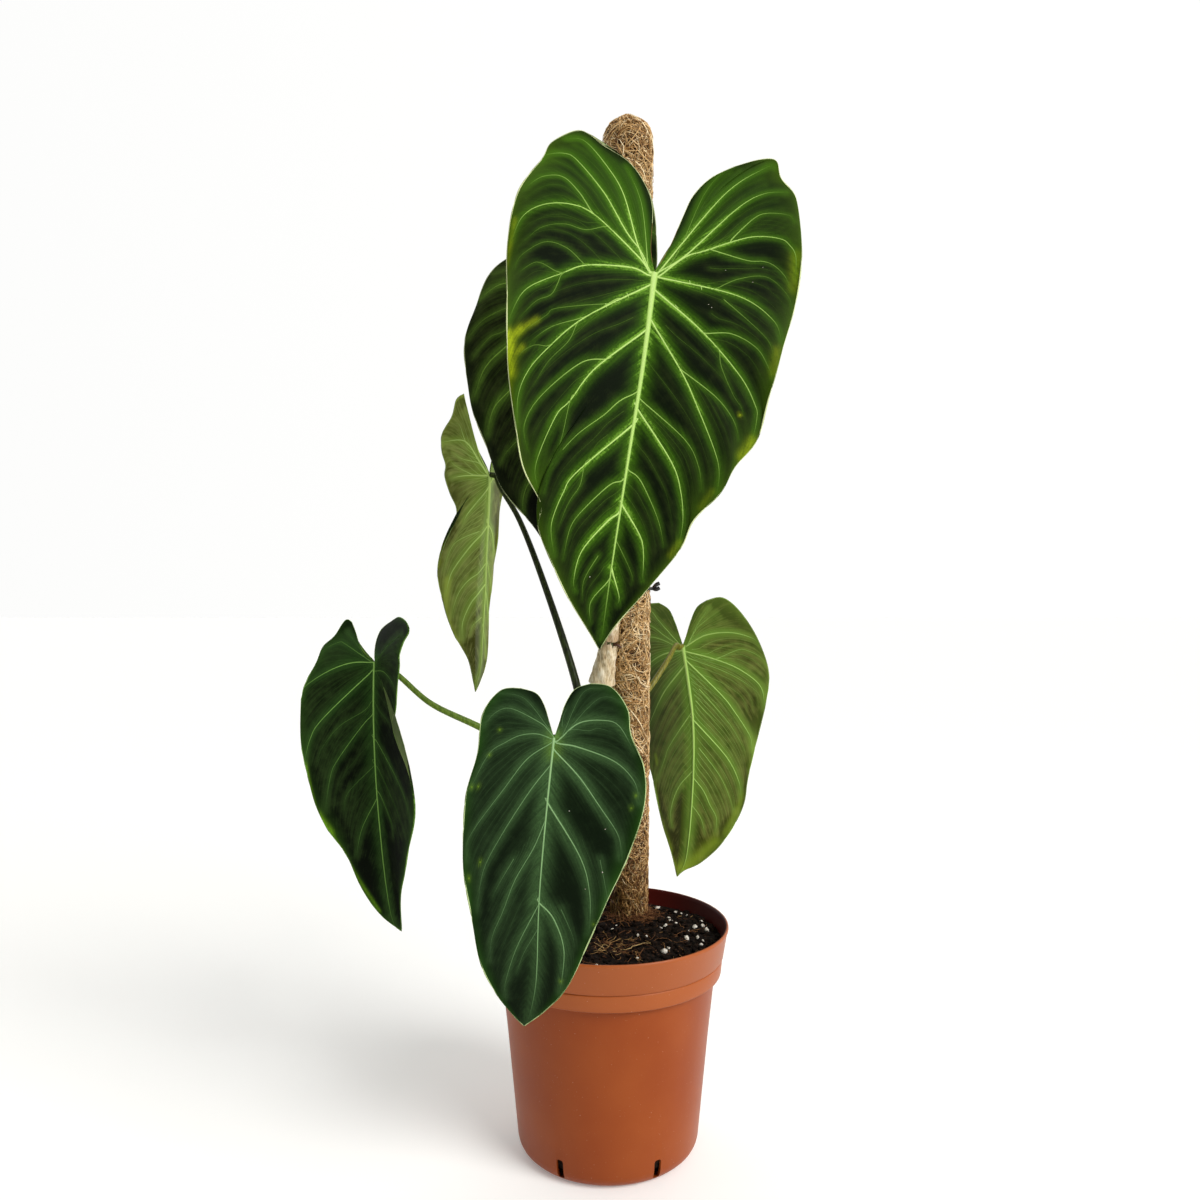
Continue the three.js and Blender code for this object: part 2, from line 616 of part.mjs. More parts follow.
// Soil with perlite grains half sunk in its top, and holes for the pole and the stem
function soil(cutters) {
  const wall = potInnerProfile().slice(1, 5).map(([r, z]) => [r - soilGap, z + soilGap / 2]);
  const [low, high] = potInnerProfile().slice(4, 6);
  const topRadius = THREE.MathUtils.lerp(low[0], high[0], (soilTop - low[1]) / (high[1] - low[1])) - soilGap;
  const rings = [0.93, 0.78, 0.62, 0.46, 0.3, 0.15];
  const profile = [
    [0, wall[0][1] + 0.2],
    [wall[0][0], wall[0][1] + 0.2],
    ...wall.slice(1),
    [topRadius, soilTop - 0.8],
    ...rings.map((share) => [topRadius * share, soilTop]),
    [0, soilTop],
  ];
  const heap = new THREE.LatheGeometry(profile.map(([r, z]) => new THREE.Vector2(r, z)), potSides);
  heap.rotateX(Math.PI / 2);
  const corner = heap.attributes.position;
  for (let i = 0; i < corner.count; i++) {
    const [x, y, z] = [corner.getX(i), corner.getY(i), corner.getZ(i)];
    if (z < soilTop - 0.1) continue;
    const rough = grain(Math.round(x), Math.round(y));
    corner.setZ(i, z + soilRoughness * rough + 1.5 * Math.sin(x / 23) * Math.cos(y / 19));
  }
  let solid = toSolid(heap);
  for (let i = 0; i < perliteCount; i++) {
    const size = 2.1 + 0.8 * grain(i, 3);
    const turn = -0.9 + 2.4 * (i / perliteCount) + 0.2 * grain(i, 1);
    const out = 38 + 30 * Math.abs(grain(i, 2));
    const lump = new THREE.IcosahedronGeometry(size, 0);
    const [x, y] = [out * Math.cos(turn), out * Math.sin(turn)];
    lump.translate(x, y, soilTop + 1.5 * Math.sin(x / 23) * Math.cos(y / 19) + 0.2);
    solid = solid.add(toSolid(lump));
  }
  for (const cutter of cutters) solid = solid.subtract(cutter);
  return toMesh('soil', mainBody(solid), materials.soil);
}

function plant() {
  const group = new THREE.Group();
  group.name = 'potted_climbing_philodendron';
  const coirCutter = coirClearance();
  const stemCutter = aerialRoots(touchGap).reduce((a, b) => a.add(b), stemRod(touchGap));
  const stakeCutter = stakeRod(touchGap);
  group.add(pot());
  group.add(soil([coirCutter, stemCutter, stakeCutter]));
  group.add(toMesh('pole_stake', stakeRod(0), materials.wood));
  group.add(toMesh('pole_coir', coirBody().subtract(stakeCutter), materials.coir));
  const stem = aerialRoots().reduce((a, b) => a.add(b), stemRod().add(bud()));
  group.add(toMesh('stem', mainBody(stem.subtract(coirCutter)), materials.stem));
  for (const band of sheaths) {
    const shell = sheath(band).subtract(coirCutter).subtract(stemCutter);
    group.add(toMesh(band.name, mainBody(shell), materials.papery));
  }
  group.add(toMesh('tie', tie(), materials.black));
  leaves.forEach((leaf, i) => group.add(leafMesh(leaf, i, stemCutter)));
  return group;
}

const group = plant();
export default group;
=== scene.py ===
import bpy
import math
import numpy as np
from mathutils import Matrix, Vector
from mathutils.bvhtree import BVHTree
from mathutils.geometry import barycentric_transform


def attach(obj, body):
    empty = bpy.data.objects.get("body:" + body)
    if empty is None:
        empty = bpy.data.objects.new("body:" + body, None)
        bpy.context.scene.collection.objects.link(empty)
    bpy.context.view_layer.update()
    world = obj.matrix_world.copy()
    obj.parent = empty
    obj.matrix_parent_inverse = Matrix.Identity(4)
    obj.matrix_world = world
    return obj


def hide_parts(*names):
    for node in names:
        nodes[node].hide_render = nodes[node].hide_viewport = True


# A climbing velvet-leaf philodendron in a nursery pot. Numbers are millimetres unless a note says
# otherwise; the frame is in metres, so every mesh is scaled by mm once, when it is made.
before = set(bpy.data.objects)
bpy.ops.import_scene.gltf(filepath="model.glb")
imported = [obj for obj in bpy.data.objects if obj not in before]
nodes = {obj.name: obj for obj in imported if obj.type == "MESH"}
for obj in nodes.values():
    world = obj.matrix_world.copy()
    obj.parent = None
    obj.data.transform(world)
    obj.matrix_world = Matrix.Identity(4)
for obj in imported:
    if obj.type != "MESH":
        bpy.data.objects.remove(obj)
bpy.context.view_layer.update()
mm = 0.001
fullTurn = 2 * math.pi
print("frame loaded:", len(nodes), "nodes")


def deselectAll():
    if bpy.context.object and bpy.context.object.mode != "OBJECT":
        bpy.ops.object.mode_set(mode="OBJECT")
    bpy.ops.object.select_all(action="DESELECT")


def pick(piece):  # the only selected and active object
    deselectAll()
    piece.select_set(True)
    bpy.context.view_layer.objects.active = piece


def editAll(piece):  # edit mode, with all of the piece selected
    pick(piece)
    bpy.ops.object.mode_set(mode="EDIT")
    bpy.ops.mesh.select_all(action="SELECT")


def applied(piece, kind, **settings):  # a modifier, applied at once
    pick(piece)
    modifier = piece.modifiers.new(kind.title(), kind)
    for name, value in settings.items():
        setattr(modifier, name, value)
    bpy.ops.object.modifier_apply(modifier=modifier.name)


def joined(pieces, name):
    pick(pieces[0])
    for piece in pieces:
        piece.select_set(True)
    bpy.ops.object.join()
    whole = bpy.context.object
    whole.name = whole.data.name = name
    return whole


def flatSheet(columns, rows):  # a sheet to shape, and its corners, which run from -1 to 1
    deselectAll()
    bpy.ops.mesh.primitive_grid_add(x_subdivisions=columns, y_subdivisions=rows, size=2)
    return bpy.context.object, cornersOf(bpy.context.object)


def cornersOf(piece, what="co"):
    numbers = np.zeros(len(piece.data.vertices) * 3)
    piece.data.vertices.foreach_get(what, numbers)
    return numbers.reshape(-1, 3)


def moveCorners(piece, places):
    piece.data.vertices.foreach_set("co", (places * mm).ravel())
    piece.data.update()


def giveValues(piece, values):  # per-point attributes, which the materials read
    for key, numbers in values.items():
        attribute = piece.data.attributes.new(key, "FLOAT", "POINT")
        attribute.data.foreach_set("value", np.asarray(numbers, np.float32))


def meshPiece(name, points, faces, values):
    mesh = bpy.data.meshes.new(name)
    mesh.from_pydata((np.asarray(points) * mm).tolist(), [], faces)
    mesh.update()
    piece = bpy.data.objects.new(name, mesh)
    bpy.context.scene.collection.objects.link(piece)
    giveValues(piece, values)
    mesh.shade_smooth()
    return piece


def dress(piece, *finishes):
    piece.data.materials.clear()
    for finish in finishes:
        piece.data.materials.append(finish)


def settle(piece, stands=(), finish=None):  # finishes a piece: material and body, and hides the nodes it stands for
    if finish:
        dress(piece, finish)
    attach(piece, "root")
    if stands:
        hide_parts(*stands)


def linear(colour):  # "#rrggbb" to linear light
    parts = [int(colour[i:i + 2], 16) / 255 for i in (1, 3, 5)]
    return [v / 12.92 if v < 0.04045 else ((v + 0.055) / 1.055) ** 2.4 for v in parts] + [1.0]


def fill(node, inputs):  # inputs are values, hex colours, or sockets to link from
    for name, value in inputs.items():
        if isinstance(value, bpy.types.NodeSocket):
            node.id_data.links.new(value, node.inputs[name])
        else:
            node.inputs[name].default_value = linear(value) if isinstance(value, str) else value


def addNode(tree, kind, inputs=None, out=0, **settings):  # gives the output socket
    made = tree.nodes.new("ShaderNode" + kind)
    for name, value in settings.items():
        if name == "stops":
            elements = made.color_ramp.elements
            while len(elements) < len(value):
                elements.new(0.5)
            for element, (place, colour) in zip(elements, value):
                element.position, element.color = place, linear(colour)
        else:
            setattr(made, name, value)
    fill(made, inputs or {})
    return made.outputs[out]


def newFinish(name):  # an empty material: its tree and its shader
    finish = bpy.data.materials.new(name)
    finish.use_nodes = True
    return finish, finish.node_tree, finish.node_tree.nodes["Principled BSDF"]


# A finish whose colour and relief follow one pattern: a value of the mesh, or a noise with so many
# cycles a metre along each axis, so 500 makes spots of 2 mm. Relief is its strength and its depth;
# worn is a value of the mesh and the colour where it is 1.
def patterned(name, pattern, stops, roughness, shine=0.5, relief=None, worn=None, **noise):
    finish, tree, shader = newFinish(name)
    if isinstance(pattern, str):
        value = addNode(tree, "Attribute", out="Fac", attribute_name=pattern)
    else:
        spot = addNode(tree, "TexCoord", out="Object")
        laid = addNode(tree, "Mapping", {"Vector": spot, "Scale": pattern})
        value = addNode(tree, "TexNoise", {"Vector": laid, "Scale": 1.0, **noise})
    skin = addNode(tree, "ValToRGB", {"Fac": value}, stops=stops)
    if worn:
        share = addNode(tree, "Attribute", out="Fac", attribute_name=worn[0])
        skin = addNode(tree, "Mix", {0: share, 6: skin, 7: worn[1]}, 2, data_type="RGBA")
    fill(shader, {"Base Color": skin, "Roughness": roughness, "Specular IOR Level": shine})
    if relief:
        fill(shader, {"Normal": addNode(tree, "Bump", {"Height": value, "Strength": relief[0],
                                                       "Distance": relief[1] * mm})})
    return finish


# Smooth lines


def unit(way):  # one vector, or rows of them, made one long
    return way / np.maximum(np.linalg.norm(way, axis=-1, keepdims=True), 1e-9)


def lengthwise(at):  # the same line, read by share of its length
    shares = np.linspace(0, 1, 201)
    steps = np.linalg.norm(np.diff(at(shares), axis=0), axis=1)
    lengths = np.concatenate([[0], np.cumsum(steps)])

    def timeOf(share):
        return np.interp(np.asarray(share, float) * lengths[-1], lengths, shares)

    def pointAt(share):
        return at(timeOf(share))

    def tangentAt(share):
        t, nudge = timeOf(share), 1e-4
        return unit(at(np.minimum(t + nudge, 1)) - at(np.maximum(t - nudge, 0)))

    return pointAt, tangentAt, lengths[-1]


def flatLine(points):  # through flat points, evenly timed
    p = np.array(points, float)

    def at(t):
        place = (len(p) - 1) * np.clip(np.atleast_1d(t), 0, 1)
        i = np.minimum(place.astype(int), len(p) - 1)
        w = (place - i)[:, None]
        p0, p1 = p[np.maximum(i - 1, 0)], p[i]
        p2, p3 = p[np.minimum(i + 1, len(p) - 1)], p[np.minimum(i + 2, len(p) - 1)]
        v0, v1 = (p2 - p0) / 2, (p3 - p1) / 2
        return (2 * p1 - 2 * p2 + v0 + v1) * w**3 + (3 * p2 - 3 * p1 - 2 * v0 - v1) * w**2 + v0 * w + p1

    return lengthwise(at)


def bentLine(points):  # through points in space, with no overshoot between close ones
    p = np.array(points, float)
    p = np.vstack([2 * p[0] - p[1], p, 2 * p[-1] - p[-2]])

    def at(t):
        place = (len(p) - 3) * np.clip(np.atleast_1d(t), 0, 1)
        i = np.minimum(place.astype(int), len(p) - 4)
        w = (place - i)[:, None]
        a, b, c, d = (p[i + j] for j in range(4))
        gap = [np.maximum(np.linalg.norm(far - near, axis=1)[:, None] ** 0.5, 1e-3)
               for near, far in ((a, b), (b, c), (c, d))]
        t1 = ((b - a) / gap[0] - (c - a) / (gap[0] + gap[1]) + (c - b) / gap[1]) * gap[1]
        t2 = ((c - b) / gap[1] - (d - b) / (gap[1] + gap[2]) + (d - c) / gap[2]) * gap[1]
        return b + t1 * w + (3 * c - 3 * b - 2 * t1 - t2) * w**2 + (2 * b - 2 * c + t1 + t2) * w**3

    return lengthwise(at)


def rod(name, points, radiusAt, rings, roundness):  # a bevelled curve, made a mesh
    shares = np.linspace(0, 1, rings)
    deselectAll()
    bpy.ops.curve.primitive_nurbs_path_add()
    bpy.context.object.name = name
    curve = bpy.context.object.data
    curve.splines.clear()
    spline = curve.splines.new("POLY")
    spline.points.add(rings - 1)
    for point, place, share in zip(spline.points, bentLine(points)[0](shares) * mm, shares):
        point.co = (*place, 1)
        point.radius = radiusAt(share)
    curve.bevel_depth = mm
    curve.bevel_resolution = roundness
    curve.use_fill_caps = True
    bpy.ops.object.convert(target="MESH")
    bpy.context.object.data.shade_smooth()
    return bpy.context.object


def grain(*seeds):  # same value for the same seeds, between -1 and 1
    s = sum(np.asarray(v) * w for v, w in zip(seeds, (12.9898, 78.233, 37.719)))
    s = np.sin(s) * 43758.5453
    return 2 * (s - np.floor(s)) - 1


# Camera and light

view = {
    "place": (-5.7, -687, 382), "lens": 28.98, "sensor": 36,
    "wallLight": (0.18, 1.03),  # from the dim room behind the camera to the bright wall
    "leftShare": 0.93,  # the left of the room is dimmer
    "roomColour": "#fefefd", "floor": "#f1f0ec", "floorSize": 40,  # in m
}
bpy.ops.object.camera_add(location=[v * mm for v in view["place"]], rotation=(math.pi / 2, 0, 0))
camera = bpy.context.object
camera.name = "camera"
camera.data.lens = view["lens"]
camera.data.sensor_width = view["sensor"]
camera.data.clip_start = 0.01
scene = bpy.context.scene
scene.camera = camera
scene.view_settings.view_transform = "Standard"

world = bpy.data.worlds.new("paleStudio")
scene.world = world
world.use_nodes = True
tree = world.node_tree
around = addNode(tree, "TexCoord", out="Generated")
sideways, away = (addNode(tree, "SeparateXYZ", {0: around}, axis) for axis in "XY")
dim, bright = view["wallLight"]
depth = addNode(tree, "MapRange", {"Value": away, "From Min": -0.3, "From Max": 0.6,
                                   "To Min": dim, "To Max": bright})
tilt = addNode(tree, "MapRange", {"Value": sideways, "From Min": -1.0, "From Max": 0.1,
                                  "To Min": view["leftShare"], "To Max": 1.0})
glow = addNode(tree, "Math", {0: depth, 1: tilt}, operation="MULTIPLY")
fill(tree.nodes["Background"], {"Color": view["roomColour"], "Strength": glow})

lights = {  # aim, place and size in m, power in W, or in W per square metre for the sun
    # a soft sun stands for the large window, high at the right in front
    "windowLight": {"type": "SUN", "aim": (-0.62, 0.55, -0.6), "place": (1, -1, 1.5),
                    "settings": {"energy": 2.3, "angle": math.radians(34)}},
    "gleamRight": {"type": "AREA", "aim": (-0.9, 0.7, -0.65), "place": (0.9, -0.7, 0.9),
                   "settings": {"energy": 5, "size": 0.6}},
}
for name, lamp in lights.items():
    way = Vector(lamp["aim"]).to_track_quat("-Z", "Y").to_euler()
    bpy.ops.object.light_add(type=lamp["type"], location=lamp["place"], rotation=way)
    bpy.context.object.name = name
    for key, value in lamp["settings"].items():
        setattr(bpy.context.object.data, key, value)

# Matt painted board: pale, with no gloss
boardFinish, tree, shader = newFinish("mattBoard")
fill(shader, {"Base Color": view["floor"], "Roughness": 0.9, "Specular IOR Level": 0.1,
              "Emission Color": "#ffffff", "Emission Strength": 0.2})
deselectAll()
bpy.ops.mesh.primitive_plane_add(size=view["floorSize"], location=(0, 0, -0.5 * mm))
floor = bpy.context.object
floor.name = "floor"
dress(floor, boardFinish)
print("camera, light and floor")

# Leaves

# Main veins of a half blade, counted from the lobe's inner edge (0) to the tip (10): where each
# leaves the midrib, and where it meets the margin, as fractions of their lengths.
veinStarts = [0, 0, 0, 0, 0.005, 0.035, 0.155, 0.4, 0.64, 0.795, 1]
veinEnds = [0, 0.1, 0.19, 0.29, 0.42, 0.58, 0.715, 0.815, 0.893, 0.945, 1]
veinSweep = 0.36

shadedGreens = {"dark": "#16220e", "lit": "#263a18", "halo": "#38601f", "vein": "#8fb84a",
                "midrib": "#9ac455", "rim": "#7d8f55", "tender": "#35552a", "margin": "#3f5c1c",
                "feather": "#5c8a34"}

# Outlines are across and along the flat blade. Veins are drawn on it too: strong, medium, weak.
# Facing is where the upper side looks, in degrees round and up; droop, lobeBend and fold are the
# blade's bends from end to end, at the lobes and along the midrib, in radians.
# leftRows and rightRows are veins that follow the blade's own rows, where none could be seen.
# dim marks painted shade on a blade: where it lies in shade, it is painted darker
leaves = [
    {
        "name": "leaf_1",
        "stalk": (27, -109, 578), "tip": (-6, -125, 353), "facing": (-80, 8),
        "droop": 0.3, "lobeBend": 0.25, "fold": 0.1, "wave": 2.2, "grid": (56, 200),
        "leftEnds": [0, 0.13, 0.22, 0.31, 0.475, 0.585, 0.745, 0.835, 0.91, 0.955, 1],
        "rightEnds": [0, 0.083, 0.151, 0.272, 0.402, 0.585, 0.708, 0.808, 0.885, 0.937, 1],
        "leftInner": [(-4, -14), (-6, -41), (-12, -56), (-24, -69), (-41, -76)],
        "leftOuter": [(-57, -83), (-72, -69), (-77, -52), (-88, -26), (-89, 5), (-85, 38), (-80, 68),
                      (-73, 97), (-62, 131), (-48, 151), (-46, 167), (-27, 197), (-9, 218)],
        "rightInner": [(7, -18), (13, -40), (18, -56), (28, -71), (43, -83)],
        "rightOuter": [(66, -91), (72, -79), (83, -67), (87, -35), (87, 5), (81, 39), (76, 68),
                       (73, 93), (62, 111), (55, 128), (42, 146), (37, 164), (22, 189), (7, 213)],
        "petiole": [(5.5, -31, 424), (17, -50, 455), (33, -72, 495), (40, -92, 535),
                    (33, -102, 566)],
        "petioleRadii": (3.8, 2.5),
        "midrib": [(0, 0), (0, 60), (-1, 120), (-1, 180), (0, 222)],
        "midribWidth": (2.25, 0.4), "veinWidth": 0.78,
        "strong": [
            [(-3, 0), (-10, -11), (-21, -22), (-37, -43), (-56, -60), (-64, -62), (-74, -57), (-77, -51)],
            [(-3, 1), (-11, -7), (-40, -26), (-56, -29), (-72, -24), (-83, -13), (-87, 4)],
            [(-3, 3), (-15, 1), (-41, 7), (-55, 16), (-75, 32), (-82, 52)],
            [(-2, 9), (-39, 40), (-58, 64), (-67, 80), (-70, 95), (-68, 110)],
            [(-2, 39), (-28, 68), (-40, 90), (-47, 101), (-54, 130), (-50, 144)],
            [(-1, 96), (-30, 130), (-36, 143), (-40, 162), (-36, 178)],
            [(-2, 149), (-8, 155), (-20, 174), (-22, 191), (-20, 197)],
            [(2, 0), (37, -60), (61, -84), (67, -86)], [(3, -1), (18, -15), (46, -52), (62, -66), (76, -70)],
            [(3, 2), (17, -13), (28, -19), (55, -33), (73, -35), (80, -31), (84, -24), (85, -9)],
            [(3, 3), (51, 7), (74, 19), (80, 31)],
            [(2, 12), (32, 33), (58, 57), (69, 73), (71, 80), (70, 95)],
            [(2, 32), (23, 60), (34, 78), (51, 110), (53, 128)],
            [(0, 86), (24, 114), (32, 130), (36, 147), (36, 161)],
            [(-1, 143), (12, 159), (16, 169), (18, 185)], [(0, 183), (6, 196), (6, 201)],
            [(-4, 0), (-13, -16), (-25, -46), (-37, -62), (-53, -76), (-64, -74)],
        ],
        "medium": [
            [(-4, 0), (-13, -42), (-25, -65)], [(-44, -29), (-52, -38), (-63, -45), (-75, -41), (-84, -31)],
            [(-22, 24), (-37, 38), (-57, 50), (-68, 62)],
            [(-22, 61), (-37, 67), (-57, 91), (-64, 109), (-60, 123)],
            [(-2, 77), (-11, 84), (-19, 94), (-34, 110), (-45, 129), (-47, 145)],
            [(-3, 130), (-10, 134), (-24, 152), (-29, 163), (-30, 180)], [(-2, 189), (-10, 202), (-8, 214)],
            [(36, -20), (55, -17), (65, -18), (72, -16), (79, -10), (83, -2)],
            [(45, -31), (57, -47), (65, -52), (78, -53), (82, -49)],
            [(34, 34), (50, 32), (66, 39), (75, 52), (76, 56)], [(23, 59), (45, 72), (57, 84), (62, 95)],
            [(2, 81), (30, 100), (40, 114), (44, 128)], [(0, 123), (8, 128), (21, 148), (27, 163)],
        ],
        "weak": [
            [(-33, -21), (-45, -15), (-58, -15), (-71, -9), (-80, 3)],
            [(-43, 7), (-55, 0), (-68, 0), (-80, 12), (-83, 21)], [(-60, 16), (-71, 14), (-80, 23)],
            [(-56, 18), (-57, 23), (-60, 31), (-68, 37), (-76, 49)],
            [(-22, 26), (-55, 38), (-61, 44), (-73, 57), (-75, 62)],
            [(-43, 46), (-46, 56), (-56, 71), (-62, 86)], [(-58, 62), (-65, 63), (-71, 68), (-73, 73)],
            [(-40, 90), (-42, 115), (-46, 126), (-49, 137)], [(-26, 124), (-27, 137), (-32, 148), (-36, 164)],
            [(-10, 175), (-16, 190), (-15, 202)], [(6, -2), (13, -17), (24, -56), (34, -75), (41, -82)],
            [(37, 5), (51, -4), (68, -8), (82, 2), (85, 11)], [(43, 11), (70, 31), (76, 43)],
            [(44, 44), (46, 53), (55, 69), (61, 76), (63, 82)], [(1, 167), (11, 182), (12, 188)],
        ],
        "colours": {"dark": "#091104", "lit": "#1f280e", "halo": "#3c650e", "vein": "#b0d072",
                    "midrib": "#bcd884", "rim": "#ccd49c", "tender": "#3a600e",
                    "margin": "#466510", "feather": "#74a036"},
        "outer": 0.6, "fineGap": 8,
        "patches": [(-80, 60, -77, 82, 3.2, 1), (-78, 80, -75, 100, 2, 0.7), (-79, 61, -74, 55, 2.4, 0.8),
                    (-74, 55, -66, 48, 1.9, 0.45), (-77, 72, -72, 66, 2, 0.5), (84, -24, 85, -4, 4, 0.2),
                    (78, 38, 77, 52, 3, 0.2), (70, 94, 65, 104, 3, 0.42), (50, 128, 45, 138, 2, 0.14),
                    (36, 160, 32, 168, 2, 0.2), (-87, -10, -88, 20, 1.5, 0.25),
                    (-60, 138, -52, 150, 1.8, 0.25)],
        "dots": [(60.6, 80.3)],
        "strokes": [(21.8, 3.4, 70), (15.7, 20.1, 40), (-14.5, 19.5, 60), (-26.8, 29.2, 70), (29, 6, 75)],
        "dust": [(42.1, -8.1), (34, 15.8), (64.4, -13.9), (59.1, -2.9), (36, 17.5), (-12.7, 187.8)],
        "tender": 0.8,
    },
    {
        "name": "leaf_2",
        "stalk": (-24, -66, 576), "tip": (-34, -77, 407), "facing": (-108, 8),
        "droop": 0.25, "lobeBend": -0.25, "fold": 0.12, "wave": 1.6,
        "leftInner": [(-4, -13), (-9, -26), (-18, -36), (-30, -38)],
        "leftOuter": [(-46, -28), (-59, -13), (-65, 8), (-68, 36), (-62, 66), (-50, 95), (-36, 125),
                      (-14, 150)],
        "rightInner": [(3, -20), (8, -42), (16, -61), (30, -74)],
        "rightOuter": [(44, -72), (52, -54), (57, -25), (56, 5), (52, 35), (46, 65), (37, 95),
                       (26, 122), (10, 152)],
        "petiole": [(-4.5, -20.5, 404), (-14, -24, 432), (-22, -33, 485), (-25, -45, 535),
                    (-22, -54, 565)],
        "petioleRadii": (3.4, 2.2),
        "midrib": [(0, 0), (0, 60), (0, 120), (0, 168)],
        "midribWidth": (1.7, 0.4), "veinWidth": 0.75,
        "strong": [
            [(-1, 8), (-22, 18), (-41, 34), (-53, 48), (-58, 67)],
            [(-1, 26), (-18, 42), (-34, 61), (-45, 74), (-48, 91)],
            [(-2, 0), (-22, -12), (-44, -11), (-53, -8), (-62, 0)],
        ],
        "medium": [
            [(-2, 2), (-24, 2), (-45, 8), (-59, 17), (-66, 28)],
            [(-2, 6), (-22, 12), (-43, 23), (-52, 27), (-62, 40)],
            [(0, 60), (-14, 78), (-28, 95), (-34, 102), (-38, 109)],
            [(0, 98), (-10, 110), (-19, 122), (-22, 131), (-22, 141)],
        ],
        "weak": [[(-2, -1), (-14, -16), (-28, -24), (-45, -20), (-54, -17)]],
        "rightRows": [0.6, 1.4, 2.2, 3, 4, 5, 6, 7, 8], "spread": 1.3, "fineGap": 6,
        "tender": 0.9, "dim": [(0, 175, 90, 70, 0.8)],
        "colours": {"dark": "#0c0e08", "lit": "#353d20", "halo": "#628a2e", "vein": "#a2cc58",
                    "midrib": "#a8cc64", "rim": "#a3ac80", "tender": "#5c7036",
                    "margin": "#465a2a", "feather": "#76a23c"},
    },
    {
        "name": "leaf_3",
        "stalk": (-91, 58, 479), "tip": (-105, 83, 309), "facing": (144, 10),
        "droop": 0.3, "lobeBend": 0.3, "fold": 0.37, "wave": 0.9,
        "leftInner": [(-0.5, -7), (-2, -13), (-9, -18)],
        "leftOuter": [(-19, -14), (-28, 0), (-33, 15), (-35, 40), (-35, 70), (-32, 90), (-28, 106),
                      (-28, 133), (-19, 158)],
        "rightInner": [(13, -17), (27, -42), (35, -56)],
        "rightOuter": [(40, -51), (40, -38), (44, -24), (42, -12), (38, -3), (37, 6), (30, 18),
                       (23, 28), (23, 38), (30, 55), (33, 78), (27, 105), (17, 127), (6, 147)],
        "petiole": [(-13, 6, 279), (-18, 5.5, 298), (-22.5, 5.5, 321), (-43, 18.5, 384),
                    (-66, 35, 442), (-82, 49, 469)],
        "petioleRadii": (3.2, 2),
        "midrib": [(0, 0), (-11, 46), (-17, 98), (-12, 148), (-2, 166), (0, 173)],
        "midribWidth": (1.5, 0.4), "veinWidth": 0.9,
        "strong": [
            [(1, 1), (19, 3), (31, 6)], [(2, 0), (11, -9), (25, -22), (40, -20), (43, -18)],
            [(-2, 9), (13, 31), (16, 39)], [(-10, 41), (4, 52), (20, 74), (24, 84), (26, 95)],
            [(-16, 89), (0, 97), (7, 107), (11, 118), (11, 129)], [(-8, 38), (-22, 48), (-31, 66)],
            [(-17, 92), (-24, 106), (-26, 120)],
        ],
        "medium": [
            [(3, -3), (11, -13), (20, -30), (29, -45)], [(-14, 72), (5, 82), (14, 92), (18, 102), (20, 112)],
            [(-2, 8), (-14, 0), (-24, 4)], [(-14, 66), (-24, 80), (-31, 98)],
            [(-15, 122), (-20, 134), (-22, 148)],
        ],
        "weak": [
            [(25, -22), (32, -33), (37, -34)], [(13, -8), (25, -9), (34, -13)], [(14, 2), (29, -3), (35, -7)],
            [(2, 45), (22, 56), (29, 78)], [(-12, 115), (1, 119), (4, 127)],
        ],
        "colours": shadedGreens,
        "fineGap": 5.5, "tender": 0.6,
        "patches": [(25.5, 84, 25, 110, 3.5, 0.7), (25, 110, 15, 134, 3, 0.6), (33, 52, 33, 72, 2.5, 0.5)],
        "dim": [(26, 20, 7, 9, 0.9), (34, -32, 14, 12, 0.35)],
    },
    {
        "name": "leaf_4",
        "stalk": (-155, -47, 341), "tip": (-131, -77, 173), "facing": (-125, 12),
        "droop": 0.3, "lobeBend": 0.3, "fold": 0.42, "wave": 0.9,
        "leftInner": [(-6, -5), (-11, -13), (-14, -22), (-17, -29)],
        "leftOuter": [(-22, -31), (-30, -21), (-38, -14), (-42, -2), (-51, 14), (-53, 30), (-51, 55),
                      (-47, 81), (-39, 101), (-29, 120), (-21, 142), (-11, 162)],
        "rightInner": [(1, -7), (4, -14), (12, -19), (28, -20)],
        "rightOuter": [(44, -18), (56, -12), (60, -5), (50, -1), (44, 6), (45, 15), (38, 34),
                       (31, 47), (38, 60), (49, 73), (54, 88), (51, 103), (40, 118), (24, 134),
                       (10, 149)],
        "petiole": [(-15, 7, 226), (-20, 3.5, 241), (-34, -2, 256), (-58, -10, 275), (-88, -21, 294),
                    (-121, -31, 312), (-140, -37, 330)],
        "petioleRadii": (3.3, 1.9),
        "midrib": [(0, 0), (-3, 103), (-5, 161), (-1, 173)],
        "midribWidth": (1.0, 0.35), "veinWidth": 0.6,
        "strong": [
            [(-2, 0), (-17, -1), (-33, 3), (-50, 12), (-51, 19)], [(-2, 6), (-37, 34), (-46, 46), (-51, 62)],
        ],
        "medium": [
            [(-2, 0), (-21, -14), (-26, -16), (-36, -12), (-38, -9)],
            [(-3, 36), (-9, 41), (-28, 62), (-33, 71), (-38, 90)], [(-3, 89), (-15, 106), (-21, 122)],
            [(-2, 6), (16, 10), (32, 20), (38, 28)], [(-2, 50), (14, 64), (30, 78), (42, 92), (46, 104)],
            [(-2, 84), (13, 104), (14, 112)],
        ],
        "weak": [
            [(-3, 27), (-8, 32), (-25, 40), (-38, 53), (-41, 61)],
            [(-4, 69), (-19, 80), (-24, 86), (-26, 94)], [(-10, -9), (-15, -16), (-20, -22)],
            [(3, 0), (27, -5), (50, -6)], [(-1, 4), (12, 16), (18, 21)],
            [(-1, 24), (7, 33), (18, 40), (26, 45)], [(-3, 66), (12, 82), (26, 98), (34, 112)],
        ],
        "colours": {"dark": "#090e06", "lit": "#2a3a1b", "halo": "#335822", "vein": "#88b658",
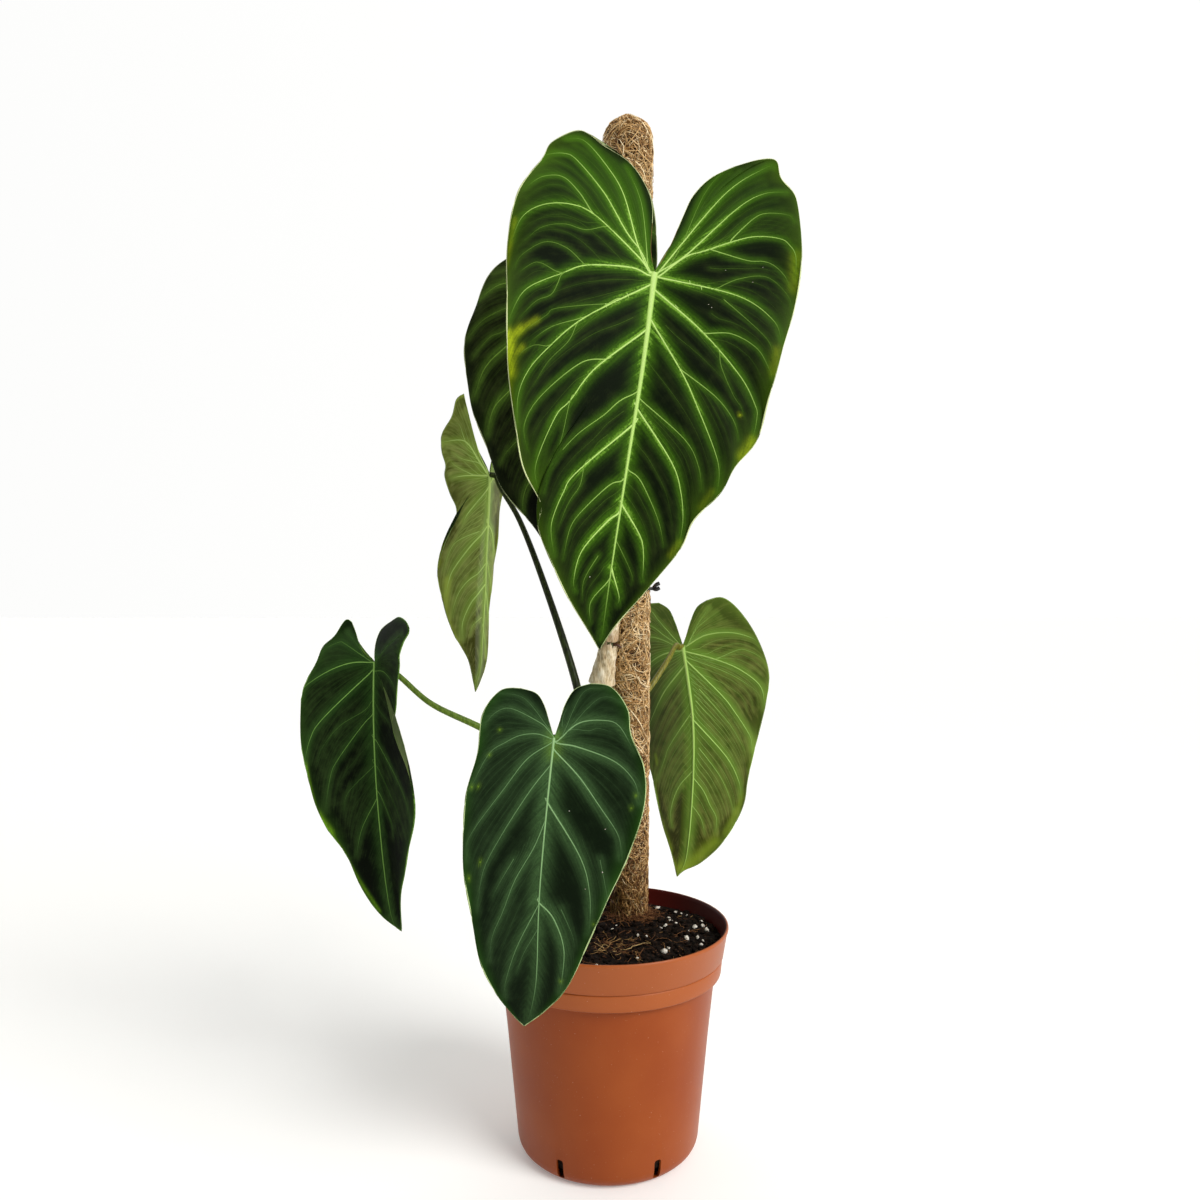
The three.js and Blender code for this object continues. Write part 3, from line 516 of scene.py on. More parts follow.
                    "midrib": "#9ec86c", "rim": "#6d9440", "tender": "#3c5a2e",
                    "margin": "#34581a", "feather": "#507e34", "patch": "#6c9c1e"},
        "outer": 0.6,
        "patches": [(-43, 94, -36, 106, 2.2, 1), (-50, 62, -44, 92, 1.2, 0.6),
                    (-36, 106, -12, 158, 1.2, 0.5)],
        "glow": 0.6, "spread": 1.15, "tender": 0.8,
    },
    {
        "name": "leaf_5",
        "stalk": (-33, -112, 300), "tip": (-50, -122, 133), "facing": (-96, 10),
        "droop": 0.35, "lobeBend": 0.4, "fold": 0.12, "wave": 1.4,
        "leftInner": [(-4, -9), (-8, -18), (-14, -25), (-24, -27)],
        "leftOuter": [(-36, -24), (-44, -8), (-44, 14), (-47, 40), (-45, 72), (-38, 101), (-29, 131),
                      (-18, 151), (-7, 163)],
        "rightInner": [(2, -9), (4, -20), (9, -30), (18, -34)],
        "rightOuter": [(31, -33), (42, -21), (46, -6), (56, 12), (58, 34), (52, 62), (43, 86),
                       (34, 113), (24, 140), (12, 157)],
        "petiole": [(-15.5, 0.5, 188), (-17, -9, 214), (-22, -38, 255), (-28, -72, 284),
                    (-31, -96, 297)],
        "petioleRadii": (3.6, 2.2),
        "midrib": [(0, 0), (2, 87), (5, 140), (2, 166)],
        "midribWidth": (0.95, 0.35), "veinWidth": 0.65,
        "strong": [
            [(2, 2), (14, -10), (30, -13), (39, -10), (49, 3)],
            [(2, 3), (15, 4), (38, 10), (51, 20), (55, 31)], [(2, 8), (18, 21), (32, 36), (45, 51), (48, 63)],
            [(1, 38), (24, 66), (32, 86), (34, 108)], [(2, 95), (12, 103), (20, 120), (20, 144)],
        ],
        "medium": [
            [(-4, -4), (-10, -8), (-28, -14), (-37, -10), (-42, -2)],
            [(-1, 1), (-10, -1), (-20, 1), (-28, 6), (-37, 14), (-45, 35)],
            [(-1, 3), (-14, 14), (-25, 32), (-42, 62), (-42, 75)],
            [(0, 16), (-10, 32), (-24, 60), (-32, 81), (-33, 103)],
            [(1, 47), (-4, 64), (-13, 84), (-18, 102), (-23, 118), (-23, 131)],
            [(2, 97), (-8, 122), (-13, 144), (-12, 152)],
        ],
        "weak": [
            [(-4, -5), (-21, -21), (-37, -22)], [(-15, 72), (-22, 87), (-25, 95)],
            [(2, 113), (-4, 126), (-7, 138)], [(4, -7), (4, -13), (6, -19)],
            [(6, -5), (14, -28), (25, -32), (30, -32)], [(7, -4), (25, -26), (40, -24)],
            [(11, -6), (21, -6), (26, -8), (37, -6)], [(36, 66), (42, 85), (41, 91)],
            [(16, 97), (24, 110), (26, 117)],
        ],
        "colours": {"dark": "#0e180b", "lit": "#1f2e19", "halo": "#48683c", "vein": "#86ac74",
                    "midrib": "#a4c68c", "rim": "#b4c78c", "tender": "#2a4624",
                    "margin": "#2e5a16", "feather": "#5a8050", "patch": "#7aa02a"},
        "outer": 0.55, "patches": [(0, 0, 1, 8, 4.5, 0.4)],
        "dots": [(-44.4, 34), (-40.6, 33.3), (-32.6, -0.6), (-36.7, 14.6), (-34.4, 75.8), (-39.8, 85.5),
                 (52.9, 27.8), (51, 35), (19.8, 137.8), (36.1, 102)],
        "glow": 0.7, "spread": 1.25, "tender": 0.25,
        "dust": [(14.3, 41.1), (36.9, 48.5), (37.8, 72.5), (28.8, 83.4)],
    },
    {
        "name": "leaf_6",
        "stalk": (62, 103, 345), "tip": (58, 113, 153), "facing": (62, 10),
        "droop": 0.3, "lobeBend": 0.3, "fold": 0.12, "wave": 1.1,
        "leftInner": [(-3, -8), (-7, -20), (-13, -32), (-22, -38)],
        "leftOuter": [(-35, -40), (-49, -28), (-62, -8), (-70, 20), (-68, 45), (-60, 78), (-55, 105),
                      (-51, 130), (-37, 159), (-20, 178), (-6, 187)],
        "rightInner": [(3, -8), (7, -19), (12, -29), (21, -34)],
        "rightOuter": [(37, -30), (53, -12), (61, 20), (58, 52), (47, 86), (32, 108), (26, 124),
                       (18, 152), (7, 174)],
        "petiole": [(-9, 13.5, 254), (-6, 24, 268), (4, 36.5, 285), (18, 43, 301), (31, 47, 314),
                    (46, 62, 334), (56, 90, 346)],
        "petioleRadii": (3.0, 1.9),
        "midrib": [(0, 0), (-4, 30), (-8, 66), (-9, 115), (-7, 174), (-1, 192)],
        "midribWidth": (1.7, 0.4), "veinWidth": 0.8,
        "strong": [
            [(-2, 1), (-19, -9), (-40, -12), (-58, -8), (-64, -2)],
            [(-2, 5), (-25, 10), (-47, 18), (-64, 31), (-67, 48)],
            [(-3, 13), (-32, 40), (-42, 52), (-55, 71), (-57, 82)],
            [(-8, 62), (-36, 90), (-47, 109), (-49, 120)], [(0, 4), (20, 10), (38, 24), (50, 44), (54, 62)],
            [(-1, 17), (19, 42), (33, 70), (40, 88), (38, 98)],
        ],
        "medium": [
            [(-9, 110), (-18, 120), (-24, 131), (-30, 141), (-30, 152)],
            [(2, 0), (21, -18), (29, -27), (38, -26)], [(3, 0), (16, -6), (30, -14), (42, -12), (52, 0)],
            [(4, 2), (20, -3), (32, -4), (46, 2), (57, 24)],
            [(-9, 104), (1, 116), (7, 128), (10, 142), (8, 153)], [(-6, 57), (13, 86), (18, 99), (24, 116)],
        ],
        "weak": [
            [(-3, 1), (-12, -16), (-23, -32)], [(-4, 0), (-12, -14), (-21, -22), (-29, -28)],
            [(-26, 11), (-46, 2), (-55, 3), (-63, 7), (-68, 13)], [(-3, 10), (-36, 21), (-58, 33), (-64, 40)],
            [(-13, 36), (-39, 64), (-52, 85)], [(-10, 46), (-19, 55), (-29, 63)],
            [(-13, 85), (-33, 109), (-44, 133)], [(-9, 133), (-17, 143), (-21, 155)],
        ],
        "colours": shadedGreens,
        "fineGap": 5.5, "tender": 0.85,
        "patches": [(-30, 160, -8, 184, 5, 0.8), (-8, 186, 2, 186, 6, 0.8), (8, 172, 22, 146, 3, 0.5),
                    (26.5, 96, 25, 103, 1.3, 1), (-52, 120, -38, 152, 2.5, 0.5)],
        "dim": [(50, 62, 36, 70, 1)], "outer": 0.5,
    },
]

# What a leaf has unless it says otherwise
usualLeaf = {
    "leftEnds": veinEnds, "rightEnds": veinEnds, "leftRows": [], "rightRows": [], "grid": (36, 130),
    "fineGap": 7, "spread": 1, "glow": 1, "tender": 0.4, "outer": 0.3,
    "patches": [], "dots": [], "strokes": [], "dim": [], "dust": [],
}

# Kinds of vein, then the marks that are drawn in the same way
strong, medium, weak, midrib, fine, stroke, bead, dot = range(8)
bladeLook = {  # the lists have a number for each kind, in that order
    "thickness": 0.6,
    "swell": 0.85,  # how far the blade puffs up between its veins
    "valley": 4.6, "quilting": 3.4,  # how far from a vein the blade stays low, and pale
    "glowReach": (4.3, 3.1, 2.2, 6.0, 1.5), "glowDepth": (0.95, 0.66, 0.44, 0.95, 0.15),
    "sink": (1, 0.7, 0.35, 1, 0.15), "weight": (1, 0.9, 0.8, 1, 0.6),
    "rootReach": (7, 6, 3.5),  # how far a vein is led on to a thicker one
    "step": 1.9,  # along a vein
    "rows": 10,  # main veins of a half blade
    "fineWithin": (45, 60),  # main veins further apart at the margin or midrib have no fine ones between
    "waves": 4.5,  # round the margin of a half blade
    "rimFrom": 0.965, "outerFrom": 0.62,  # shares of the way from the midrib to the margin
    "litLobeRows": 3.4,  # how far the painted light on the lobes reaches, in rows
    "stalkGlow": (9, 11),  # half the size of the pale spot over the stalk
    "veinShare": (1.0, 0.68, 0.5, 1.0, 0.36),  # of the leaf's vein width
    "markWidth": (0.32, 0.34, 0.7),
    "crown": (0.16, 0.16, 0.16, 0.5, 0.12, 0.36, 0.12, 0.12),
    "core": (0.85, 0.5, 0.3, 1.0, 0.09, 1.2, 0, 0),
    "undersideCrown": (0.6, 0.42, 0.3, 1.5, 0.18, 0, 0.12, 0),
    "undersideCore": (0.9, 0.6, 0.42, 1.0, 0.24, 1.2, 0, 0),
    "rootedEdge": 0.12,  # how deep a strip's edges lie in the blade
    "dotPaleness": 0.6,
}
# Across a vein's strip: place, height and paleness
stripAcross, stripHeight, stripPaleness = np.array(
    [(-1, -1, 0), (-0.5, 0.55, 0.6), (0, 1, 1), (0.5, 0.55, 0.6), (1, -1, 0)]).T
bladeValues = ("veinHalo", "veinCore", "rim", "patch", "tender", "outer", "quilt", "dim")


def blend(numbers, k):
    return np.interp(k, range(len(numbers)), numbers)


def bladeFrame(leaf):
    stalk, tip = np.array(leaf["stalk"], float), np.array(leaf["tip"], float)
    half = leaf["droop"] / 2
    chord = unit(tip - stalk)
    turn, tilt = (math.radians(v) for v in leaf["facing"])
    up = np.array([math.cos(turn) * math.cos(tilt), math.sin(turn) * math.cos(tilt), math.sin(tilt)])
    up = unit(up - up.dot(chord) * chord)
    along = chord * math.cos(half) + up * math.sin(half)
    normal = up * math.cos(half) - chord * math.sin(half)
    return {"stalk": stalk, "length": np.linalg.norm(tip - stalk) * half / math.sin(half),
            "along": along, "normal": normal, "across": np.cross(normal, along)}


# Where points of the flat blade go once the blade droops and folds along its midrib
def bladePoints(leaf, base, flat, lift):
    across, along = flat.T
    bend = np.where(along >= 0, leaf["droop"], leaf["lobeBend"])
    turn = bend * along / base["length"]
    forward = base["length"] * np.sin(turn) / bend
    back = -base["length"] * (1 - np.cos(turn)) / bend
    soft = np.sqrt(across**2 + 4) - 2  # the fold is rounded along the midrib
    rise = soft * math.sin(leaf["fold"]) + lift
    out = base["normal"] * np.cos(turn)[:, None] + base["along"] * np.sin(turn)[:, None]
    return (base["stalk"] + base["along"] * forward[:, None] + base["normal"] * back[:, None]
            + base["across"] * (across * math.cos(leaf["fold"]))[:, None] + out * rise[:, None])


# One half of the flat blade: vein k, from the midrib (t = 0) to the margin (t = 1)
def halfBlade(leaf, side, length):
    inner, outer = leaf[side + "Inner"], leaf[side + "Outer"]
    notchAt = flatLine([(0, 0), *inner])[0]
    edgeAt, edgeWay, _ = flatLine([inner[-1], *outer, (0, length)])
    sweep = -veinSweep * (1 if side == "right" else -1)
    turned = np.array([[math.cos(sweep), math.sin(sweep)], [-math.sin(sweep), math.cos(sweep)]])

    def vein(k, t):
        start = np.stack([0 * k, blend(veinStarts, k) * length], 1)
        share = blend(leaf[side + "Ends"], k)
        end = edgeAt(share)
        chord = end - start
        first = chord @ turned * 0.4 + start
        lead = 0.3 * np.clip(k / 2.5, 0.12, 1) * np.linalg.norm(chord, axis=1)
        last = end - edgeWay(share) * lead[:, None]
        t = t[:, None]
        return (1 - t)**3 * start + 3 * (1 - t)**2 * t * first + 3 * (1 - t) * t**2 * last + t**3 * end

    def placeAt(k, t):  # beside the notch the rows bend to follow it
        pull = np.maximum(0, 1 - k / 1.5) ** 2
        return vein(k, t) + (notchAt(t) - vein(0 * k, t)) * pull[:, None]

    return placeAt


def rooted(points, parents, reach):  # a vein starts on the nearest thicker one, a little before its place
    first, second = np.array(points[:2], float)
    gaps = [np.linalg.norm(path - first, axis=1) for path in parents]
    nearest = min(range(len(parents)), key=lambda i: gaps[i].min())
    spot = parents[nearest][max(0, int(gaps[nearest].argmin()) - 2)]
    if gaps[nearest].min() > reach or np.dot(first - spot, second - first) < 0:
        return points
    return [tuple(spot), *points]


def veinPaths(leaf, halves):  # every vein as short straight steps, with its kind
    middle = flatLine(leaf["midrib"])[0]
    parents, veins = [middle(np.linspace(0, 1, 140))], []
    for kind, paths in ((strong, leaf["strong"]), (medium, leaf["medium"]), (weak, leaf["weak"])):
        for points in paths:
            pointAt, _, length = flatLine(rooted(points, parents, bladeLook["rootReach"][kind]))
            parents.append(pointAt(np.linspace(0, 1, max(4, int(length / bladeLook["step"])))))
            veins.append((kind, parents[-1]))
    hub = parents[0][42]
    for way in (-1, 1):  # fine veins between neighbours on one side, in order round the margin
        row = [path for _, path in veins if (path[-1][0] - hub[0]) * way > 0]
        row.sort(key=lambda path: math.atan2(abs(path[-1][0] - hub[0]), path[-1][1] - hub[1]))
        for near, far in zip(row, row[1:]):
            apart, apartAtRoot = np.linalg.norm(near[-1] - far[-1]), np.linalg.norm(near[0] - far[0])
            if apart > bladeLook["fineWithin"][0] or apartAtRoot > bladeLook["fineWithin"][1]:
                continue
            pair = [flatLine(path[:: max(1, len(path) // 8)])[0](np.linspace(0, 1, 20))
                    for path in (near, far)]
            many = int(apart / leaf["fineGap"])
            for part in np.arange(1, many + 1) / (many + 1):
                veins.append((fine, pair[0] * (1 - part) + pair[1] * part))
    for side in ("left", "right"):
        for i, row in enumerate(leaf[side + "Rows"]):
            path = halves[side](np.full(40, float(row)), np.linspace(0.01, 0.97, 40))
            veins.append(((strong, medium)[i % 2], path))
    return [(midrib, middle(np.linspace(0, 1, 110))), *veins]


def fieldsAt(flat, veins, leaf):  # how near a vein is, 0 to 1: its glow, its valley, and the quilting
    kinds = np.concatenate([np.full(len(path) - 1, kind) for kind, path in veins])
    share = np.concatenate([np.linspace(0, 1, len(path) - 1) for _, path in veins])
    starts, ends = (np.concatenate([path[part] for _, path in veins])
                    for part in (slice(None, -1), slice(1, None)))
    way = ends - starts
    size = np.maximum((way**2).sum(1), 1e-6)
    reach, depth, sink, weight = (np.array(bladeLook[key])[kinds]
                                  for key in ("glowReach", "glowDepth", "sink", "weight"))
    strengths = (depth * (1.0 - 0.55 * share**2) * leaf["glow"], sink * (1 - 0.4 * share), weight)
    reaches = (reach * (1.12 - 0.6 * share) * leaf["spread"],
               np.full(len(way), bladeLook["valley"]), np.full(len(way), bladeLook["quilting"]))
    fields = np.zeros((3, len(flat)))
    for low in range(0, len(flat), 400):  # some points at a time, with the steps within 14 mm
        spots = flat[low:low + 400]
        near = ((np.maximum(starts, ends) > spots.min(0) - 14).all(1)
                & (np.minimum(starts, ends) < spots.max(0) + 14).all(1))
        if not near.any():
            continue
        part = spots[:, None, :] - starts[None, near]
        t = np.clip((part * way[near]).sum(2) / size[near], 0, 1)
        gap = ((part - t[..., None] * way[near]) ** 2).sum(2)
        for field, strength, reach in zip(fields, strengths, reaches):
            field[low:low + 400] = (strength[near] * np.exp(-gap / reach[near] ** 2)).max(1)
    return fields


def patchAt(leaf, flat):  # yellowed streaks, with half width and strength, and small spots
    found = np.zeros(len(flat))
    for x1, y1, x2, y2, size, amount in leaf["patches"]:
        start, way = np.array((x1, y1)), np.array((x2 - x1, y2 - y1), float)
        t = np.clip(((flat - start) @ way) / (way @ way), 0, 1)
        gap = ((flat - start - t[:, None] * way) ** 2).sum(1)
        found = np.maximum(found, amount * np.exp(-gap / size**2))
    for spot in leaf["dots"]:
        found = np.maximum(found, 0.4 * np.exp(-((flat - spot) ** 2).sum(1) / 1.3**2))
    return found


def shadeAt(leaf, flat):  # where the blade lies in shade: centre, half width, half length, strength
    found = np.zeros(len(flat))
    for x, y, wide, long, amount in leaf["dim"]:
        found = np.maximum(found, amount * np.exp(-(((flat - (x, y)) / (wide, long)) ** 2).sum(1)))
    return found


def makeBlade(number, leaf, base, halves, veins):  # a sheet shaped by its two halves
    columns, rows = leaf["grid"]
    blade, corner = flatSheet(2 * columns, rows)
    k = np.clip((1 - corner[:, 1]) / 2, 0, 1) * bladeLook["rows"]
    t = np.clip(np.abs(corner[:, 0]), 0, 1) ** 0.85  # a little closer together at the margin
    isLeft = corner[:, 0] < 0
    flat = np.where(isLeft[:, None], halves["left"](k, t), halves["right"](k, t))
    margin = np.where(isLeft, blend(leaf["leftEnds"], k), blend(leaf["rightEnds"], k))
    wave = leaf["wave"] * t**3 * np.minimum(1, 3 * (1 - k / bladeLook["rows"])) * np.sin(
        fullTurn * (bladeLook["waves"] * margin + 0.3 * number + np.where(isLeft, 0.4, 0)))
    halo, valley, quilt = fieldsAt(flat, veins, leaf)
    atStalk = 0.9 * np.exp(-(((flat - (0, 1)) / bladeLook["stalkGlow"]) ** 2).sum(1))
    puff = bladeLook["swell"] * (1 - valley) * np.sin(math.pi * np.clip(t, 0, 1) ** 0.8) ** 0.5
    lift = wave + np.nan_to_num(puff) * np.clip(1.2 - k / 12, 0.3, 1)
    place = bladePoints(leaf, base, flat, lift)
    moveCorners(blade, place)
    values = {
        "veinHalo": np.maximum(halo, atStalk), "veinCore": 0 * t, "quilt": quilt,
        "patch": patchAt(leaf, flat),
        "rim": np.clip((t - bladeLook["rimFrom"]) / (1 - bladeLook["rimFrom"]), 0, 1),
        # painted light: the lobes, over the first rows from the notch, are painted lighter and greener
        "tender": np.clip(1 - k / bladeLook["litLobeRows"], 0, 1) * leaf["tender"],
        "outer": (np.clip((t - bladeLook["outerFrom"]) / 0.36, 0, 1) ** 1.6
                  * leaf["outer"] * np.clip(k, 0, 1)),
        "dim": shadeAt(leaf, flat),
    }
    giveValues(blade, values)
    return blade, flat, place, values


def bladeFinder(blade, flat, place):  # finds where a point of the flat blade lies on the bent one
    squares = np.array([face.vertices for face in blade.data.polygons])
    threes = np.concatenate([squares[:, [0, 1, 2]], squares[:, [0, 2, 3]]])
    a, b, c = (flat[threes[:, i]] for i in range(3))
    areas = np.abs((b[:, 0] - a[:, 0]) * (c[:, 1] - a[:, 1]) - (b[:, 1] - a[:, 1]) * (c[:, 0] - a[:, 0]))
    threes = threes[areas > 0.02]
    level = [Vector((x, y, 0)) for x, y in flat]
    bent, up = [Vector(p) for p in place], [Vector(p) for p in cornersOf(blade, "normal")]
    finder = BVHTree.FromPolygons(level, threes.tolist())

    def onBlade(points):
        spots, ways, nearest = [], [], []
        for x, y in points:
            spot, _, index, _ = finder.find_nearest(Vector((x, y, 0)))
            three = threes[index]
            corners = [level[i] for i in three]
            spots.append(barycentric_transform(spot, *corners, *(bent[i] for i in three)))
            ways.append(barycentric_transform(spot, *corners, *(up[i] for i in three)).normalized())
            nearest.append(three[0])
        return np.array(spots), np.array(ways), nearest

    return onBlade


def marksOf(leaf, halves):
    marks = []
    for x, y, turn in leaf["strokes"]:  # pale marks across a vein
        way = np.array((math.cos(math.radians(turn)), math.sin(math.radians(turn))))
        marks.append((stroke, np.array((x, y)) + way * np.linspace(-1.5, 1.5, 5)[:, None]))
    for spot in leaf["dots"]:  # small yellow spots
        marks.append((dot, np.array(spot) + np.array(((0, -0.5), (0, -0.2), (0, 0.2), (0, 0.5)))))
    for side in ("left", "right"):  # the margin is a fine pale bead
        sinus = halves[side](np.zeros(24), np.linspace(0.06, 0.98, 24))
        rest = halves[side](np.linspace(0, 9.98, 230), np.ones(230))
        marks.append((bead, np.concatenate([sinus, rest])))
    return marks


def veinStrips(leaf, ribs, veins, values, onBlade):  # narrow domed strips on both faces
    points, faces, sides = [], [], []
    found = {key: [] for key in values}
    for kind, path in ribs:
        share = np.linspace(0, 1, len(path))
        along = unit(np.gradient(path, axis=0))
        side = np.stack([along[:, 1], -along[:, 0]], 1)
        if kind > fine:
            wide = np.full(len(path), bladeLook["markWidth"][kind - stroke])
        elif kind == midrib:
            wide = np.interp(share, (0, 1), leaf["midribWidth"]) * (1 + 0.25 * np.exp(-share * 25))
        else:
            wide = leaf["veinWidth"] * bladeLook["veinShare"][kind] * (1.08 - 0.72 * share)
        flat = (path[:, None] + side[:, None] * (stripAcross[:, None] * wide[:, None, None])).reshape(-1, 2)
        spots, ways, nearest = onBlade(flat)
        halo, _, quilt = fieldsAt(flat, veins, leaf)
        for face in (1,) if kind in (stroke, dot) else (1, -1):
            if face > 0:
                crown = bladeLook["crown"][kind] * (1 - 0.6 * share)
                core = bladeLook["core"][kind]
            else:
                crown = bladeLook["undersideCrown"][kind] * (1 - 0.7 * share)
                core = bladeLook["undersideCore"][kind]
            high = np.where(stripHeight < 0, -bladeLook["rootedEdge"], stripHeight * crown[:, None])
            high = face * (bladeLook["thickness"] / 2 + high.ravel())
            first = len(points)
            points.extend(spots + ways * high[:, None])
            core = core * (1 - 0.6 * share) * np.clip((1 - share) * 5 + 0.05, 0, 1)
            given = {
                "veinHalo": halo, "quilt": quilt, "veinCore": (core[:, None] * stripPaleness).ravel(),
                "patch": (np.full(len(flat), bladeLook["dotPaleness"]) if kind == dot
                          else patchAt(leaf, flat)),
                "rim": np.full(len(flat), float(kind == bead)),
                **{key: values[key][nearest] for key in ("tender", "outer", "dim")},
            }
            for key, numbers in given.items():
                found[key].extend(numbers)
            across = len(stripAcross)
            for i in range(len(path) - 1):
                for j in range(across - 1):
                    corner = first + i * across + j
                    ring = [corner, corner + 1, corner + across + 1, corner + across]
                    faces.append(ring[::-face])
                    sides.append(2 if kind == bead and i < 7 else 0 if face > 0 else 1)
    return meshPiece("veins", points, faces, found), sides


def makeLeaf(number, leaf, finishes):
    base = bladeFrame(leaf)
    halves = {side: halfBlade(leaf, side, base["length"]) for side in ("left", "right")}
    veins = veinPaths(leaf, halves)
    blade, flat, place, values = makeBlade(number, leaf, base, halves, veins)
    onBlade = bladeFinder(blade, flat, place)
    editAll(blade)
    bpy.ops.mesh.remove_doubles(threshold=0.02 * mm)
    bpy.ops.object.mode_set(mode="OBJECT")
    dress(blade, *finishes)
    applied(blade, "SOLIDIFY", thickness=bladeLook["thickness"] * mm, offset=0, material_offset=1,
            material_offset_rim=0, use_quality_normals=True)
    blade.data.shade_smooth()
    strips, sides = veinStrips(leaf, veins + marksOf(leaf, halves), veins, values, onBlade)
    foot, head = leaf["petioleRadii"]
    ends = [base["stalk"] - base["normal"] * below for below in (8, 1.6)]
    petiole = rod("petiole", [*leaf["petiole"], *ends], lambda s: foot + (head - foot) * min(1, s * 1.25)
                  + 1.3 * max(0, 1 - s / 0.13) ** 1.5 + 0.5 * math.exp(-((s - 0.96) / 0.018) ** 2),
                  64, 6)  # thicker at its foot, with a joint under the blade
    for piece, indices in ((strips, sides), (petiole, [2] * len(petiole.data.polygons))):
        piece.data.uv_layers.new(name="UVMap")
        dress(piece, *finishes)
        piece.data.polygons.foreach_set("material_index", indices)
    return joined([blade, strips, petiole], leaf["name"].replace("leaf_", "velvetLeaf"))


# What both faces of a blade have: the mesh's values, and streaks along the fine cross veins, which
# run beside the main ones, about 2.5 mm apart at the margin
def bladeFinish(name, stretch, roughness):
    finish, tree, shader = newFinish(name)
    values = [addNode(tree, "Attribute", out="Fac", attribute_name=key) for key in bladeValues]
    uv = addNode(tree, "UVMap", uv_map="UVMap")
    laid = addNode(tree, "Mapping", {"Vector": uv, "Scale": stretch})
    streak = addNode(tree, "TexNoise", {"Vector": laid, "Scale": 1.0, "Detail": 3, "Roughness": roughness})
    return finish, tree, shader, streak, values


# Upper side: velvet of tiny upright hairs over a dark blade, so it is matt with a soft sheen, and
# pale veins with a green glow beside them
def velvetSide(name, look):
    finish, tree, shader, streak, values = bladeFinish(name, (7, 150, 1), 0.6)
    halo, core, rim, patch, tender, outer, quilt, dim = values
    # blotches, the glow's torn edge, and hairs, which are 0.1 mm apart, drawn 0.6 mm apart to show
    spot = addNode(tree, "TexCoord", out="Object")
    cloud, torn, hairs = (
        addNode(tree, "TexNoise", {"Vector": spot, "Scale": scale, "Detail": detail, "Roughness": rough})
        for scale, detail, rough in ((130, 6, 0.66), (800, 2, 0.5), (1600, 1, 0.5)))
    shade = 0.0
    for value, share in ((streak, 0.3), (cloud, 0.42), (quilt, 0.2)):
        shade = addNode(tree, "Math", {0: value, 1: share, 2: shade}, operation="MULTIPLY_ADD")
    lamina = addNode(tree, "ValToRGB", {"Fac": shade}, stops=((0.36, look["dark"]), (0.6, look["lit"])))
    # painted light: the lobes are painted lighter and greener, as where they turn up to the light, less so
    # where the blade puffs up between its veins, which is darker there
    litLobeShare = addNode(tree, "MapRange", {"Value": quilt, "From Min": 0.1, "From Max": 0.9,
                                       "To Min": 0.1, "To Max": 0.9})
    litLobeShare = addNode(tree, "Math", {0: tender, 1: litLobeShare}, operation="MULTIPLY")
    # the glow is feathered by the same fine cross veins
    ragged = addNode(tree, "MapRange", {"Value": streak, "From Min": 0.3, "From Max": 0.7,
                                        "To Min": 0.1, "To Max": 0.8})
    ragged = addNode(tree, "Math", {0: torn, 1: 0.9, 2: ragged}, operation="MULTIPLY_ADD")
    glow, sick = (addNode(tree, "Math", {0: value, 1: ragged}, operation="MULTIPLY", use_clamp=True)
                  for value in (halo, patch))
    sick = addNode(tree, "Math", {0: sick, 1: 0.85}, operation="MULTIPLY")
    # close beside a vein the hairs catch its light
    feather = addNode(tree, "MapRange", {"Value": glow, "From Min": 0.66, "From Max": 1.0, "To Max": 0.75})
    vein = addNode(tree, "ValToRGB", {"Fac": core}, stops=(
        (0.0, look["feather"]), (0.6, look["vein"]), (1.0, look["midrib"])))
    cut = addNode(tree, "MapRange", {"Value": core, "From Min": 0.0, "From Max": 0.5})
    edge = addNode(tree, "Math", {0: rim, 1: 2.2}, operation="POWER")
    # painted shade: where the blade lies in shade (dim), it is painted with its dark colour
    for share, colour in ((litLobeShare, look["tender"]), (outer, look["margin"]), (dim, look["dark"]),
                          (glow, look["halo"]), (feather, look["feather"]),
                          (sick, look.get("patch", "#a2b41c")), (cut, vein), (edge, look["rim"])):
        lamina = addNode(tree, "Mix", {0: share, 6: lamina, 7: colour}, 2, data_type="RGBA")
    height = addNode(tree, "Math", {0: streak, 1: 2.0, 2: hairs}, operation="MULTIPLY_ADD")
    bump = addNode(tree, "Bump", {"Height": height, "Strength": 0.5, "Distance": 0.12 * mm})
    fill(shader, {"Base Color": lamina, "Normal": bump, "Roughness": 0.55, "Specular IOR Level": 0.03,
                  "Sheen Weight": 0.002, "Sheen Roughness": 0.3, "Sheen Tint": "#b9d08a"})
    return finish


